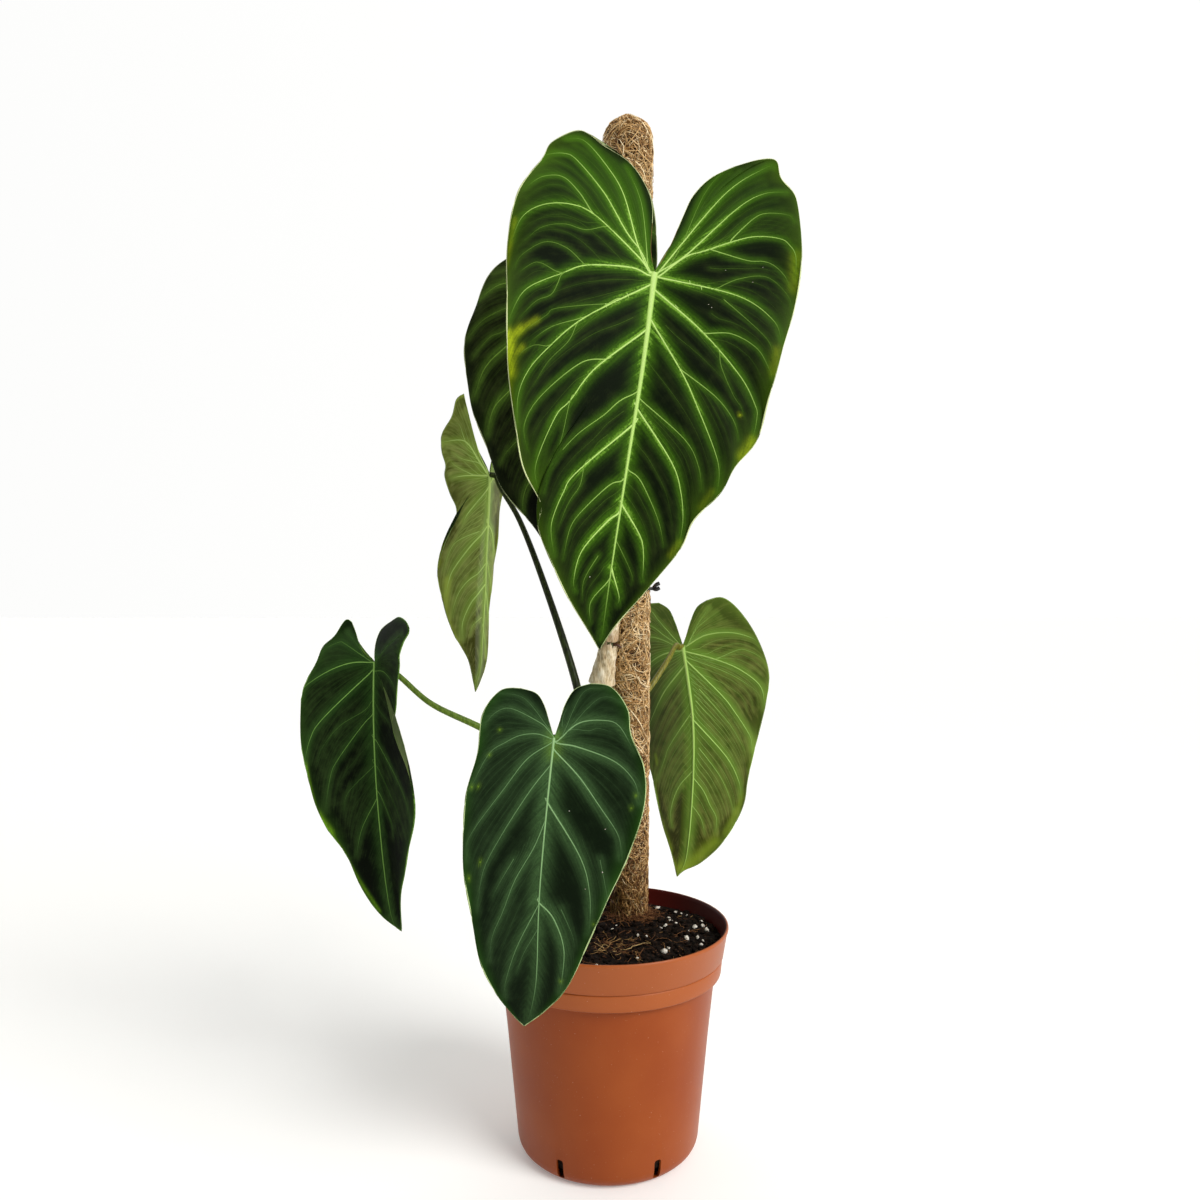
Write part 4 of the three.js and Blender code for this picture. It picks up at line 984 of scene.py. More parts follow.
# Underside: smooth waxy skin, lighter and browner than the top, with raised veins
def paleSide(name, look):
    finish, tree, shader, streak, values = bladeFinish(name, (4, 110, 1), 0.5)
    halo, core, rim, patch, tender, outer, quilt, dim = values
    spot = addNode(tree, "TexCoord", out="Object")
    cloud = addNode(tree, "TexNoise", {"Vector": spot, "Scale": 120, "Detail": 4})
    shade = 0.0  # darker in the middle of each field between veins
    for value, share in ((streak, 0.45), (cloud, 0.35), (quilt, 0.2)):
        shade = addNode(tree, "Math", {0: value, 1: share, 2: shade}, operation="MULTIPLY_ADD")
    lamina = addNode(tree, "ValToRGB", {"Fac": shade}, stops=((0.4, look["dark"]), (0.6, look["lit"])))
    green = addNode(tree, "Math", {0: halo, 1: 0.5}, operation="POWER")
    # painted light: the lobes are painted greener, as where they turn up to the light
    litLobeShare = addNode(tree, "MapRange", {"Value": quilt, "From Min": 0.2, "From Max": 0.9,
                                       "To Min": 0.35, "To Max": 1.0})
    litLobeShare = addNode(tree, "Math", {0: tender, 1: litLobeShare}, operation="MULTIPLY")
    green = addNode(tree, "Math", {0: litLobeShare, 1: green}, operation="MAXIMUM")
    yellowed = addNode(tree, "Math", {0: patch, 1: 0.7}, operation="MULTIPLY")
    cut = addNode(tree, "MapRange", {"Value": core, "From Min": 0.0, "From Max": 0.32})
    vein = addNode(tree, "ValToRGB", {"Fac": core}, stops=((0.1, look["vein"]), (0.8, look["midrib"])))
    # painted shade: where the blade lies in shade (dim), it is painted with its dim or dark colour
    for share, colour in ((green, look["halo"]), (outer, look["rim"]),
                          (yellowed, look.get("patch", look["rim"])), (cut, vein), (rim, look["rim"]),
                          (dim, look.get("dim", look["dark"]))):
        lamina = addNode(tree, "Mix", {0: share, 6: lamina, 7: colour}, 2, data_type="RGBA")
    bump = addNode(tree, "Bump", {"Height": streak, "Strength": 0.5, "Distance": 0.25 * mm})
    fill(shader, {"Base Color": lamina, "Normal": bump, "Roughness": 0.45, "Specular IOR Level": 0.12})
    return finish


undersides = {
    "leaf_1": {"dark": "#4c5a2a", "lit": "#5f6f34", "halo": "#567a2c", "vein": "#8fb552",
               "midrib": "#a3c765", "rim": "#9aa874"},
    "leaf_2": {"dark": "#48552a", "lit": "#5a6a33", "halo": "#52742b", "vein": "#86ab4c",
               "midrib": "#9abd5d", "rim": "#8a9a63"},
    "leaf_3": {"dark": "#464a12", "lit": "#929a54", "halo": "#7c9c3a", "vein": "#b6d474",
               "midrib": "#c0dc7c", "rim": "#a4b850", "patch": "#b8cc50"},
    "leaf_4": {"dark": "#46552a", "lit": "#586a33", "halo": "#50722b", "vein": "#7fa44a",
               "midrib": "#93b55b", "rim": "#7f9152"},
    "leaf_5": {"dark": "#46552a", "lit": "#586a33", "halo": "#50722b", "vein": "#7fa44a",
               "midrib": "#93b55b", "rim": "#8a9a63"},
    # painted shade: leaf_6's dim colour is laid where its blade lies in shade
    "leaf_6": {"dim": "#1e2206", "dark": "#3a3e12", "lit": "#787c3e", "halo": "#6f9836",
               "vein": "#9cc45e", "midrib": "#b4d472", "rim": "#84a83c", "patch": "#96b434"},
}
petioleTones = {
    "leaf_1": ("#6a4c22", "#8a7434"), "leaf_2": ("#3f4b1d", "#5f6f2e"), "leaf_3": ("#1a1f0d", "#38441c"),
    "leaf_4": ("#56721a", "#78922c"), "leaf_5": ("#46561f", "#64772e"), "leaf_6": ("#5c5a1c", "#807a30"),
}
dustSpots = []
for number, leaf in enumerate(leaves):
    leaf = {**usualLeaf, **leaf}
    name = leaf["name"]
    dark, light = petioleTones[name]
    # Petiole: firm green skin, ribbed lengthwise and flecked with paler streaks of 1 by 10 mm
    skin = patterned("petioleSkin" + name[-1], (900, 900, 90), ((0.4, dark), (0.66, light)), 0.42, 0.22,
                     relief=(0.4, 0.15), Detail=2)
    piece = makeLeaf(number, leaf, [velvetSide("velvetBlade" + name[-1], leaf["colours"]),
                                    paleSide("waxyUnderside" + name[-1], undersides[name]), skin])
    settle(piece, [name])
    if leaf["dust"]:
        above = bladePoints(leaf, bladeFrame(leaf), np.array(leaf["dust"]), 3)
        face = BVHTree.FromObject(piece, bpy.context.evaluated_depsgraph_get())
        dustSpots.extend(np.array(face.find_nearest(Vector(spot * mm))[0]) / mm for spot in above)
    print(name, "faces", len(piece.data.polygons))

# Stem

stem = {
    "path": [(-15, 11, 96), (-16, 10, 144), (-14, 8.5, 195), (-12, 7.5, 238), (-8.5, 4.5, 285),
             (-4.6, 1, 321), (2.2, -10.6, 364), (3, -24.5, 430), (3.2, -38, 500), (4, -46, 545)],
    "footRadius": 6.8, "headRadius": 4, "nodes": 9, "swell": 0.5, "scar": 0.3,
    "budLength": 38, "budRadius": 4.4, "rootLength": 9, "rootHeights": (0.27, 0.564, 0.7, 0.8),
}
pole = {
    "foot": np.array((16.6, 43, 148.0)), "head": np.array((12.6, -55, 698.0)),
    "footRadius": 12.6, "headRadius": 15, "fibres": 4300, "seed": 11, "points": 7,
    "lean": (0.9, 0.75), "bow": 3.0,  # of a fibre from upright, in radians, and how much it bends
    "length": (12, 34), "thickness": (0.2, 0.42), "lift": (-0.1, 1.5),  # off the mat
    "tone": (0.55, 0.27), "dampTone": ((0, 90, 200, 420), (-0.3, -0.12, 0.02, 0.06)),  # by height
}
poleLength = np.linalg.norm(pole["head"] - pole["foot"])
poleWay = unit(pole["head"] - pole["foot"])


def poleAt(height):  # the middle of the pole at this height, taken along the pole
    return pole["foot"] + poleWay * (height - pole["foot"][2])


def stemRadius(s):
    beat = max(0, math.cos(fullTurn * stem["nodes"] * s)) ** 6
    return (stem["footRadius"] + (stem["headRadius"] - stem["footRadius"]) * min(1, 1.6 * s)
            + stem["swell"] * beat)


def caneRadius(s):  # with a scar just above each node
    return stemRadius(s) + stem["scar"] * max(0, math.cos(fullTurn * (stem["nodes"] * s - 0.07))) ** 60


stemAt, stemWay, _ = bentLine(stem["path"])
tip, tipWay = stemAt([1.0])[0], stemWay([1.0])[0]
bud = [tip - tipWay * 2, tip + tipWay * stem["budLength"] / 2, tip + tipWay * stem["budLength"] + (2, 3, 0)]
parts = [rod("cane", stem["path"], caneRadius, 260, 6),
         rod("bud", bud, lambda s: stem["budRadius"] * (1 - s) ** 0.6 + 0.5, 26, 5)]
for i, s in enumerate(stem["rootHeights"]):
    start = stemAt([s])[0]
    toPole = unit((poleAt(start[2]) - start) * (1, 1, 0))
    for side in (-1, 1):
        turn = side * (1.25 + 0.3 * grain(i, side))
        cos, sin = math.cos(turn), math.sin(turn)
        out = np.array([toPole[0] * cos - toPole[1] * sin, toPole[0] * sin + toPole[1] * cos, 0])
        end = (start + out * (stemRadius(s) + stem["rootLength"] * 0.45)
               + toPole * (3 + 2 * grain(side, i)))
        end[2] -= 2 + 2 * grain(i, 7, side)
        middle = start + out * (stemRadius(s) + stem["rootLength"] * 0.35)
        root = rod("root", [start, middle, end], lambda t: 1.4 - 0.7 * t, 9, 3)
        giveValues(root, {"dryRoot": np.ones(len(root.data.vertices))})
        parts.append(root)

# Climbing stem: green under a thin brown skin, in blotches of 5 mm, with dry brown roots
caneFinish = patterned("caneSkin", (220, 220, 60), ((0.35, "#3d3a1c"), (0.5, "#55602c"), (0.66, "#6d7a38")),
                       0.5, relief=(0.6, 0.5), worn=("dryRoot", "#4a2813"), Detail=5)
settle(joined(parts, "climbingStem"), ["stem"], caneFinish)
print("stem")

# Dry sheaths

sheaths = {
    "thickness": 0.45, "gap": 0.75, "facing": np.array((-0.62, -0.78, 0.0)),
    "opening": 0.55,  # half of it, down the back, in radians
    "bands": {"cataphyll_lower": {"from": 0.5, "to": 0.572, "flare": 3.9},
              "cataphyll_upper": {"from": 0.572, "to": 0.655, "flare": 0.6}},
}
# Dry papery sheath: thin and pale tan, with wrinkles 1 mm apart and blotches of 6 mm
paperFinish, tree, shader = newFinish("drySheath")
spot = addNode(tree, "TexCoord", out="Object")
laid = addNode(tree, "Mapping", {"Vector": spot, "Scale": (1100, 1100, 260), "Rotation": (0, 0.5, 0)})
wrinkle = addNode(tree, "TexNoise", {"Vector": laid, "Scale": 1.0, "Detail": 4})
blotch = addNode(tree, "TexNoise", {"Vector": spot, "Scale": 160, "Detail": 3})
tone = addNode(tree, "Mix", {0: 0.5, 2: wrinkle, 3: blotch})
paper = addNode(tree, "ValToRGB", {"Fac": tone}, stops=((0.33, "#8c7350"), (0.47, "#c9b48e"),
                                                        (0.62, "#e4d8bf")))
# where the upper sheath grows from the node, it is stained yellow-brown for about 8 mm
height, stain = addNode(tree, "SeparateXYZ", {0: spot}, "Z"), blotch
for low, high in ((0.346, 0.352), (0.362, 0.356)):
    near = addNode(tree, "MapRange", {"Value": height, "From Min": low, "From Max": high})
    stain = addNode(tree, "Math", {0: near, 1: stain}, operation="MULTIPLY")
paper = addNode(tree, "Mix", {0: stain, 6: paper, 7: "#8a5a1c"}, 2, data_type="RGBA")
bump = addNode(tree, "Bump", {"Height": wrinkle, "Strength": 0.8, "Distance": 0.5 * mm})
fill(shader, {"Base Color": paper, "Normal": bump, "Roughness": 0.62})

for name, band in sheaths["bands"].items():
    piece, corner = flatSheet(60, 40)
    turn = -(math.pi - sheaths["opening"]) * corner[:, 0]
    rise = (corner[:, 1] + 1) / 2
    ragged = 0.035 * np.sin(9 * turn) + 0.025 * np.sin(23 * turn + 1)
    peak = 1 - 0.22 * np.abs(turn) / math.pi + ragged * rise
    s = band["from"] + (band["to"] - band["from"]) * rise * peak
    reach = np.array([stemRadius(v) for v in s]) + sheaths["gap"] + band["flare"] * (1 - rise)
    reach += 0.25 * np.sin(6 * turn + 18 * rise) + 0.12 * np.sin(31 * turn + 9 * rise)
    way = stemWay(s)
    front = unit(sheaths["facing"] - way * (way @ sheaths["facing"])[:, None])
    other = np.cross(way, front)
    out = front * np.cos(turn)[:, None] + other * np.sin(turn)[:, None]
    moveCorners(piece, stemAt(s) + out * reach[:, None])
    applied(piece, "SOLIDIFY", thickness=sheaths["thickness"] * mm, offset=0)
    piece.name = piece.data.name = name.replace("cataphyll_", "drySheath_")
    piece.data.shade_smooth()
    settle(piece, [name], paperFinish)
print("sheaths")

# Tie

tie = {"height": 394, "radius": 1.0, "endLength": 7, "stemShare": 0.665}
poleSpot, stemSpot = poleAt(tie["height"]), stemAt([tie["stemShare"]])[0]
stemSpot[2] = poleSpot[2]
rings = [(poleSpot, pole["headRadius"] + 1.2), (stemSpot, stem["footRadius"] + 0.4)]
loop = []
for turn in np.linspace(0, fullTurn, 61)[:-1]:
    out = np.array((math.cos(turn), math.sin(turn), 0))
    centre, reach = max(rings, key=lambda ring: ring[0] @ out + ring[1])
    loop.append(centre + out * (reach + tie["radius"]) + (0, 0, 0.4 * math.sin(3 * turn)))
soft = (np.roll(loop, 1, 0) + 2 * np.array(loop) + np.roll(loop, -1, 0)) / 4
parts = [rod("loop", [*soft, soft[0]], lambda s: tie["radius"], 120, 3)]
knot = poleSpot + (pole["headRadius"] + 2.2, -3, 0)
for side in (1, -1):  # its two twisted ends
    far = knot + (tie["endLength"] * 0.6, -1, side * 1.6 + 2)
    middle = (knot + far) / 2 + (0, -0.8, side * 0.9)
    parts.append(rod("end", [knot, middle, far], lambda s: tie["radius"] + 0.4, 8, 3))
# Plant tie: wire with a thin black PVC skin, smooth with a soft shine, scuffed in spots of 1 mm
tieFinish = patterned("coatedWire", (900,) * 3, ((0.4, "#0d0d0e"), (0.7, "#1c1c1d")), 0.38, Detail=2)
settle(joined(parts, "plantTie"), ["tie"], tieFinish)
print("tie")

# Pole

# Coir mat: coconut husk fibre in tufts of 2 mm, dry and matt, and dark between the loose fibres
dress(nodes["pole_coir"], patterned(
    "coirMat", (420, 420, 700), ((0.4, "#2c1b0c"), (0.56, "#684a26"), (0.72, "#a37f50")), 0.92,
    relief=(1.0, 1.2), Detail=5, Distortion=2.0))
# Stake: sawn softwood, with its grain lengthwise and growth rings 2 mm apart
dress(nodes["pole_stake"], patterned(
    "sawnPine", (500, 500, 14), ((0.35, "#8d6236"), (0.65, "#c59a63")), 0.7, Detail=3))
# Loose coir fibre: fine, stiff and slightly glossy; each strand has its own tone
strandFinish = patterned("coirStrand", "tone", (
    (0.0, "#6b421a"), (0.3, "#a67a3f"), (0.65, "#dab276"), (1.0, "#f8e2b6")), 0.6)

sideA = unit(np.cross(poleWay, (0, 1.0, 0)))
sideB = np.cross(poleWay, sideA)


def strands(name, finish, paths, thickness, tones):  # three-sided tubes along rows of points
    paths, thickness = np.array(paths), np.array(thickness)
    count, rings = paths.shape[:2]
    way = unit(np.gradient(paths, axis=1))
    side = unit(np.cross(way, np.array((0.31, 0.22, 0.92))))
    other = np.cross(way, side)
    taper = np.sin(np.linspace(0.35, math.pi - 0.35, rings)) ** 0.5
    wide = (thickness[:, None] * taper)[..., None]
    tube = np.stack([paths + (side * math.cos(turn) + other * math.sin(turn)) * wide
                     for turn in (0, fullTurn / 3, fullTurn * 2 / 3)], 2)
    index = np.arange(count * rings * 3).reshape(count, rings, 3)
    a, b = index[:, :-1], index[:, 1:]
    walls = np.stack([a, np.roll(a, -1, 2), np.roll(b, -1, 2), b], -1).reshape(-1, 4)
    caps = np.concatenate([index[:, 0, ::-1], index[:, -1]])
    piece = meshPiece(name, tube.reshape(-1, 3), walls.tolist() + caps.tolist(),
                      {"tone": np.repeat(tones, rings * 3)})
    settle(piece, (), finish)


def coirStrands(name, low, high, count, seed):
    rng = np.random.default_rng(seed)
    height = rng.uniform(low, high, count)
    turn = rng.uniform(0, fullTurn, count)
    lean = rng.normal(*pole["lean"], count) * rng.choice((-1, 1), count)
    lean *= np.clip(0.25 + height / 110, 0, 1)  # more upright at the foot
    length = rng.uniform(*pole["length"], count)
    bow = rng.normal(0, pole["bow"], count)
    t = np.linspace(-0.5, 0.5, pole["points"])
    angle = lean[:, None] + bow[:, None] * t
    step = length[:, None] / (pole["points"] - 1)
    up, around = np.cumsum(np.cos(angle) * step, 1), np.cumsum(np.sin(angle) * step, 1)
    up -= up.mean(1)[:, None]
    around -= around.mean(1)[:, None]
    level = np.clip(height[:, None] + up, -4, poleLength + 1.5)
    share = np.clip(level / poleLength, 0, 1)
    radius = pole["footRadius"] + (pole["headRadius"] - pole["footRadius"]) * share
    fromTop = np.clip((level - (poleLength - pole["headRadius"])) / pole["headRadius"], 0, 1)
    dome = np.sqrt(np.maximum(0, 1 - fromTop**2))
    reach = radius * dome + rng.uniform(*pole["lift"], (count, 1)) + 0.5 * np.sin(
        t * rng.uniform(3, 9, (count, 1)) + rng.uniform(0, 6, (count, 1)))
    where = turn[:, None] + around / radius
    paths = (pole["foot"] + poleWay * level[..., None]
             + sideA * (np.cos(where) * reach)[..., None] + sideB * (np.sin(where) * reach)[..., None])
    heights, shifts = pole["dampTone"]  # darker and damp below
    pale = np.interp(height, (*heights, poleLength), (*shifts, 0))
    tones = np.clip(rng.normal(*pole["tone"], count) + pale, 0, 1)
    strands(name, strandFinish, paths, rng.uniform(*pole["thickness"], count), tones)


for i in range(2):  # the lower and the upper half
    low, high = (poleLength / 2 * part for part in (i, i + 1))
    coirStrands("coirStrands" + "AB"[i], low - 2, high, pole["fibres"], pole["seed"] + i)
print("pole")

# Pot

pot = {
    "sides": 144, "slots": 6, "slotWidth": 5, "slotBottom": 3, "slotTop": 16, "slotRound": 1.6,
    "slotFrom": 55.5, "slotTo": 75.5, "roundedBelow": 40,  # degrees between faces
    # heights, and the radii within which the inside of the pot is painted dark, as painted shade
    "innerShadeWithin": ((0, 112, 122, 123, 154), (60, 72.5, 75.5, 78, 84)), "floor": 3,
    "outside": [(55, 0), (57.4, 0.35), (59.6, 1.5), (61.6, 3.4), (62.9, 5.8), (63.6, 8.5),
                (67.2, 45), (70.9, 82), (74.3, 112), (75, 118), (75.3, 120.6), (75.6, 121.2),
                (76.2, 121.5), (78.9, 121.7), (79.5, 122.1), (79.7, 122.7), (80.7, 132), (80.6, 132.4),
                (80.1, 132.8), (80.1, 133.1), (80.9, 133.4), (81.3, 133.9), (84.2, 150.6),
                (84.8, 151.6), (85, 152.6), (84.9, 153.5), (84.4, 154)],
    "inside": [(83.5, 154), (83.1, 153.4), (82.7, 151.5), (76.9, 123.5), (74.4, 120.5), (73.6, 117),
               (61.9, 9.5), (60, 4.6), (56, 2.2), (54, 2)],
}
deselectAll()
radius, height = pot["outside"][0]
bpy.ops.mesh.primitive_circle_add(vertices=pot["sides"], radius=radius * mm, location=(0, 0, 0))
shell = bpy.context.object
editAll(shell)
bpy.ops.mesh.edge_face_add()
bpy.ops.mesh.select_all(action="SELECT")
bpy.ops.mesh.select_mode(type="EDGE")
for nextRadius, nextHeight in pot["outside"][1:] + pot["inside"]:
    bpy.ops.mesh.extrude_edges_move(TRANSFORM_OT_translate={"value": (0, 0, (nextHeight - height) * mm)})
    share = nextRadius / radius
    bpy.ops.transform.resize(value=(share, share, 1), center_override=(0, 0, nextHeight * mm))
    radius, height = nextRadius, nextHeight
bpy.ops.mesh.edge_face_add()
bpy.ops.mesh.select_all(action="SELECT")
bpy.ops.mesh.normals_make_consistent(inside=False)
bpy.ops.object.mode_set(mode="OBJECT")

cutters = []
slotSize = (pot["slotTo"] - pot["slotFrom"], pot["slotWidth"], pot["slotTop"] - pot["slotBottom"])
slotPlace = ((pot["slotFrom"] + pot["slotTo"]) / 2, 0, (pot["slotBottom"] + pot["slotTop"]) / 2)
for i in range(pot["slots"]):
    deselectAll()
    bpy.ops.mesh.primitive_cube_add(size=1, location=[v * mm for v in slotPlace],
                                    scale=[v * mm for v in slotSize])
    bpy.ops.object.transform_apply()
    cutters.append(bpy.context.object)
    editAll(cutters[-1])
    bpy.ops.mesh.bevel(offset=pot["slotRound"] * mm, segments=3)
    bpy.ops.transform.rotate(value=fullTurn * i / pot["slots"], orient_axis="Z", center_override=(0, 0, 0))
    bpy.ops.object.mode_set(mode="OBJECT")
cutter = joined(cutters, "slotCutter")
applied(shell, "BOOLEAN", operation="DIFFERENCE", object=cutter, solver="EXACT")
bpy.data.objects.remove(cutter)
pick(shell)
bpy.ops.object.shade_smooth_by_angle(angle=math.radians(pot["roundedBelow"]))
shell.name = shell.data.name = "nurseryPot"

# painted shade: the inside of the pot, within the inner wall and above its floor, is marked to be painted
# dark
spots = cornersOf(shell) / mm
wall = np.interp(spots[:, 2], *pot["innerShadeWithin"])
giveValues(shell, {"soiled": (np.hypot(*spots.T[:2]) < wall) & (spots[:, 2] > pot["floor"])})

# Pot: injection-moulded polypropylene, satin, with a faint grain from the mould. The band is painted
# a little paler, as painted light, and the inside is painted dark, as painted shade.
potFinish, tree, shader = newFinish("mouldedPolypropylene")
spot = addNode(tree, "TexCoord", out="Object")
cloud = addNode(tree, "TexNoise", {"Vector": spot, "Scale": 22, "Detail": 4})
plastic = addNode(tree, "ValToRGB", {"Fac": cloud}, stops=((0.3, "#8a3c10"), (0.7, "#954718")))
height = addNode(tree, "SeparateXYZ", {0: spot}, "Z")
# painted light: the band is painted paler than the body below it, as it catches more light
band = addNode(tree, "MapRange", {"Value": height, "From Min": 0.12, "From Max": 0.123, "To Max": 0.55})
dust = addNode(tree, "TexNoise", {"Vector": spot, "Scale": 900, "Detail": 2})
specks = addNode(tree, "MapRange", {"Value": dust, "From Min": 0.72, "From Max": 0.78, "To Max": 0.5})
# painted shade: the inside of the pot is painted dark maroon, as it lies in shadow
soiled = addNode(tree, "Attribute", out="Fac", attribute_name="soiled")
for share, colour in ((band, "#ac6034"), (specks, "#d8b49a"), (soiled, "#4a120b")):
    plastic = addNode(tree, "Mix", {0: share, 6: plastic, 7: colour}, 2, data_type="RGBA")
# the mould's grain is 0.3 mm, drawn at 0.8 mm
grainy = addNode(tree, "TexNoise", {"Vector": spot, "Scale": 1250, "Detail": 1})
bump = addNode(tree, "Bump", {"Height": grainy, "Strength": 0.12, "Distance": 0.06 * mm})
fill(shader, {"Base Color": plastic, "Normal": bump, "Roughness": 0.4, "Specular IOR Level": 0.18})
settle(shell, ["pot"], potFinish)
print("pot")

# Soil

# Peat mix: damp, near black and matt, in crumbs of 2 mm
peatFinish = patterned("peatMix", (500,) * 3, ((0.38, "#080504"), (0.56, "#1b120b"), (0.7, "#4a3020")),
                       0.9, 0.1, relief=(1.0, 1.5), Detail=6, Roughness=0.7)
dress(nodes["soil"], peatFinish)
# Perlite: expanded volcanic glass, white and chalky, with pores of 1 mm
perliteFinish = patterned("perlite", (900,) * 3, ((0.38, "#9c9080"), (0.52, "#e0d9cc")), 0.85,
                          relief=(0.8, 0.5), Detail=4)
# Fine roots: pale, dry and wiry, each with its own tone
rootFinish = patterned("dryRoot", "tone", (
    (0.0, "#4a2a16"), (0.4, "#7d5230"), (0.7, "#a98450"), (1.0, "#d0b27c")), 0.7, 0.2)


deselectAll()
bpy.ops.mesh.primitive_ico_sphere_add(subdivisions=1, radius=1)  # 20 faces
seedLump = bpy.context.object
lumpCorners = cornersOf(seedLump)
lumpFaces = np.array([face.vertices for face in seedLump.data.polygons])
bpy.data.objects.remove(seedLump)


def lumps(name, finish, spots, sizes, seed, squash=0.75):  # many rough lumps in one mesh
    rng = np.random.default_rng(seed)
    count = len(spots)
    corners = lumpCorners * rng.uniform(0.6, 1.25, (count, len(lumpCorners), 1))
    turn = rng.uniform(0, fullTurn, count)
    cos, sin = np.cos(turn)[:, None], np.sin(turn)[:, None]
    x, y, z = np.moveaxis(corners * rng.uniform(0.7, 1.35, (count, 1, 3)) * (1, 1, squash), 2, 0)
    corners = np.stack([x * cos - y * sin, x * sin + y * cos, z], -1)
    corners = corners * np.asarray(sizes)[:, None, None] + spots[:, None]
    faces = lumpFaces + (np.arange(count) * len(lumpCorners))[:, None, None]
    piece = meshPiece(name, corners.reshape(-1, 3), faces.reshape(-1, 3).tolist(), {})
    settle(piece, (), finish)


soil = {
    "height": 143.5, "mounds": 1.5, "crumbs": 2600, "reach": 79.5,
    "clearings": ((-16, 10, 8), (16.6, 43, 14)),  # round the stem and the pole
    "dust": (0.28, 0.42),  # the smallest and the largest grain on the leaves
    "perlite": np.array([  # across, away, size; the grains that are seen come first
        (39, 63, 2.4), (46, 35, 2.3), (42, 11, 2.4), (21, -6, 2.1), (27, -8, 1.3), (55, -10, 2.5),
        (63, -8, 2.2), (69, 17, 2.3), (69, 26, 1.7), (71, 7, 2.6), (38, -33, 2.7), (52, 52, 1.6),
        (5, 40, 1.6), (3, 10, 1.1), (6, 17, 0.9), (19, -37, 0.9), (19, -44, 1.1), (48, 27, 1.5),
        (50, 22, 1.3), (63, 13, 2.2), (56, 47, 1.2), (60, 40, 1.4), (38, 9, 1.4), (64, -21, 1.5),
        (46, 30, 1.4), (66, -14, 1.3), (58, 4, 1.2), (41, -28, 1.4), (53, -34, 1.1), (31, -52, 1.0),
        (-40, 30, 2), (-55, -10, 1.5), (-20, 55, 2.2), (8, 66, 1.4), (30, 70, 1.5), (-62, 28, 1.8),
        (-35, -48, 1.6), (-8, -60, 1.3), (-66, -22, 2), (-48, 52, 1.4), (-12, 36, 1.6), (-30, 8, 1.2),
        (-44, -28, 1.5), (-24, -66, 1.7), (12, -68, 1.2), (-70, 4, 1.3)]),
    "roots": [  # across and away, with tone and thickness
        ([(-10, -20), (-3, -30), (3, -34), (9, -31), (12, -33), (18, -28), (24, -23), (30, -20)], 1.0, 0.5),
        ([(-9, -10), (-4, -18), (2, -20), (7, -16), (9, -10)], 0.8, 0.35),
        ([(-8, -38), (-4, -25), (0, -28), (3, -38), (9, -38)], 0.9, 0.4),
        ([(-11, -34), (-5, -36), (1, -31), (8, -30)], 0.9, 0.45),
        ([(-3, -1), (2, -15), (1, -25), (-2, -38)], 0.7, 0.35),
        ([(18, -34), (19, -44), (20, -53)], 0.7, 0.3), ([(37, -20), (39, -31), (41, -38)], 0.6, 0.3),
        ([(30, -18), (40, -15), (49, -20), (55, -18)], 0.5, 0.3),
        ([(4, 30), (6, 40), (2, 46), (-2, 50)], 0.8, 0.4),
        ([(52, 17), (56, 6), (61, 2), (69, 10)], 0.5, 0.35),
        ([(46, -11), (54, -1), (66, 6), (72, 17)], 0.4, 0.3),
        ([(-40, -20), (-30, -32), (-22, -30)], 0.8, 0.4),
        ([(-50, 20), (-42, 30), (-30, 28), (-22, 36)], 0.7, 0.35),
    ],
    "brokenRoots": 200, "rootPoints": 24, "fallen": 340, "fallenPoints": 15,
}


def soilHeight(x, y):
    return soil["height"] + soil["mounds"] * np.sin(x / 23) * np.cos(y / 19)


rng = np.random.default_rng(5)
out = soil["reach"] * np.sqrt(rng.uniform(0, 1, soil["crumbs"]))
turn = rng.uniform(0, fullTurn, soil["crumbs"])
x, y = out * np.cos(turn), out * np.sin(turn)
for across, away, radius in soil["clearings"]:
    clear = np.hypot(x - across, y - away) > radius
    x, y = x[clear], y[clear]
spots = np.stack([x, y, soilHeight(x, y) + rng.uniform(-0.8, 1.0, len(x))], 1)
lumps("peatCrumbs", peatFinish, spots, rng.gamma(1.6, 0.6, len(x)) + 0.45, 6)

x, y, sizes = soil["perlite"].T
spots = np.column_stack([x, y, soilHeight(x, y) + 0.9])
lumps("perliteGrains", perliteFinish, spots, 0.88 * sizes, 4, 0.9)
# a little of it lies on the leaves
lumps("leafDust", perliteFinish, np.array(dustSpots), np.linspace(*soil["dust"], len(dustSpots)), 8)


def curl(turn, bow, many):  # the steps of a strand that bends evenly as it goes
    angle = turn + bow * np.linspace(-1, 1, many)
    return np.column_stack([np.cos(angle), np.sin(angle)]).cumsum(0)


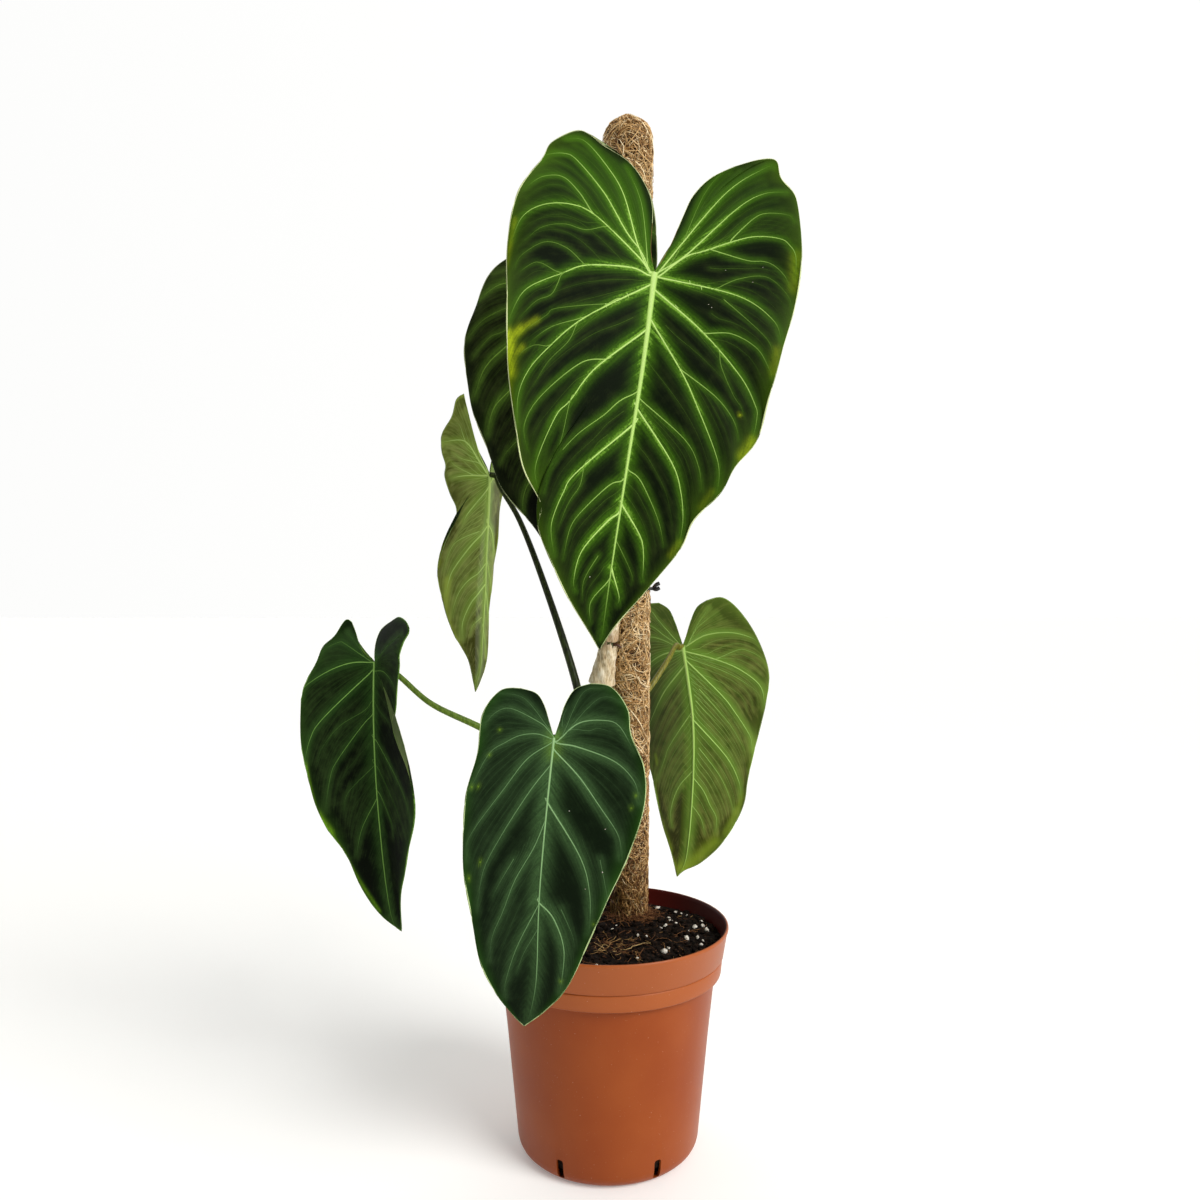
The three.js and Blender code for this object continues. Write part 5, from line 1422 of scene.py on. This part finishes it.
# Roots lie on the mix
rng = np.random.default_rng(21)
many = soil["rootPoints"]
paths, tones, thickness = [], [], []
for line, tone, wide in soil["roots"]:
    steps = flatLine(line)[0](np.linspace(0, 1, many)) + 0.5 * rng.normal(0, 1, (many, 2))
    high = soilHeight(*steps.T) + 1.6 + 0.9 * np.sin(np.linspace(0, 9, many) + wide * 40)
    paths.append(np.column_stack([steps, high]))
    tones.append(tone * 0.85)
    thickness.append(wide * 0.62)
for i in range(soil["brokenRoots"]):  # short broken ends, half of them at the front left
    spot = rng.normal((4, -28), (14, 12)) if i < 110 else rng.uniform(-62, 62, 2)
    run = curl(rng.uniform(0, 6.28), rng.normal(0, 1.2), many) * (rng.uniform(4, 13) / many) + spot
    if np.hypot(*run.T).max() > 76:
        continue
    high = soilHeight(*run.T) + rng.uniform(0.6, 2.4) + rng.uniform(-1.5, 1.5) * np.linspace(-1, 1, many)
    paths.append(np.column_stack([run, high]))
    tones.append(rng.uniform(0, 0.7))
    thickness.append(rng.uniform(0.11, 0.22))
strands("fineRoots", rootFinish, paths, thickness, tones)

# Loose fibre fallen from the pole, in a red-brown heap round its foot
many = soil["fallenPoints"]
paths, tones, thickness = [], [], []
for i in range(soil["fallen"]):
    turn, out = rng.normal(-0.3, 1.6), rng.gamma(2.0, 2.6) + 12
    spot = pole["foot"][:2] + np.array((math.cos(turn), math.sin(turn))) * out
    bow, way = rng.normal(0, 2.2), rng.uniform(0, 6.28)
    run = curl(way, bow, many) * rng.uniform(6, 16) / many
    run += spot - run.mean(0)
    if np.hypot(*run.T).max() > 77:
        continue
    heap = max(0, 1 - (out - 12) / 14) * 6
    high = soilHeight(*run.T) + 0.8 + rng.uniform(0, 1) * heap + rng.uniform(-2, 2) * np.linspace(-1, 1, many)
    paths.append(np.column_stack([run, np.maximum(high, 143)]))
    tones.append(rng.uniform(0, 0.5))
    thickness.append(rng.uniform(0.14, 0.3))
strands("fallenCoir", rootFinish, paths, thickness, tones)
print("soil")

print("done")
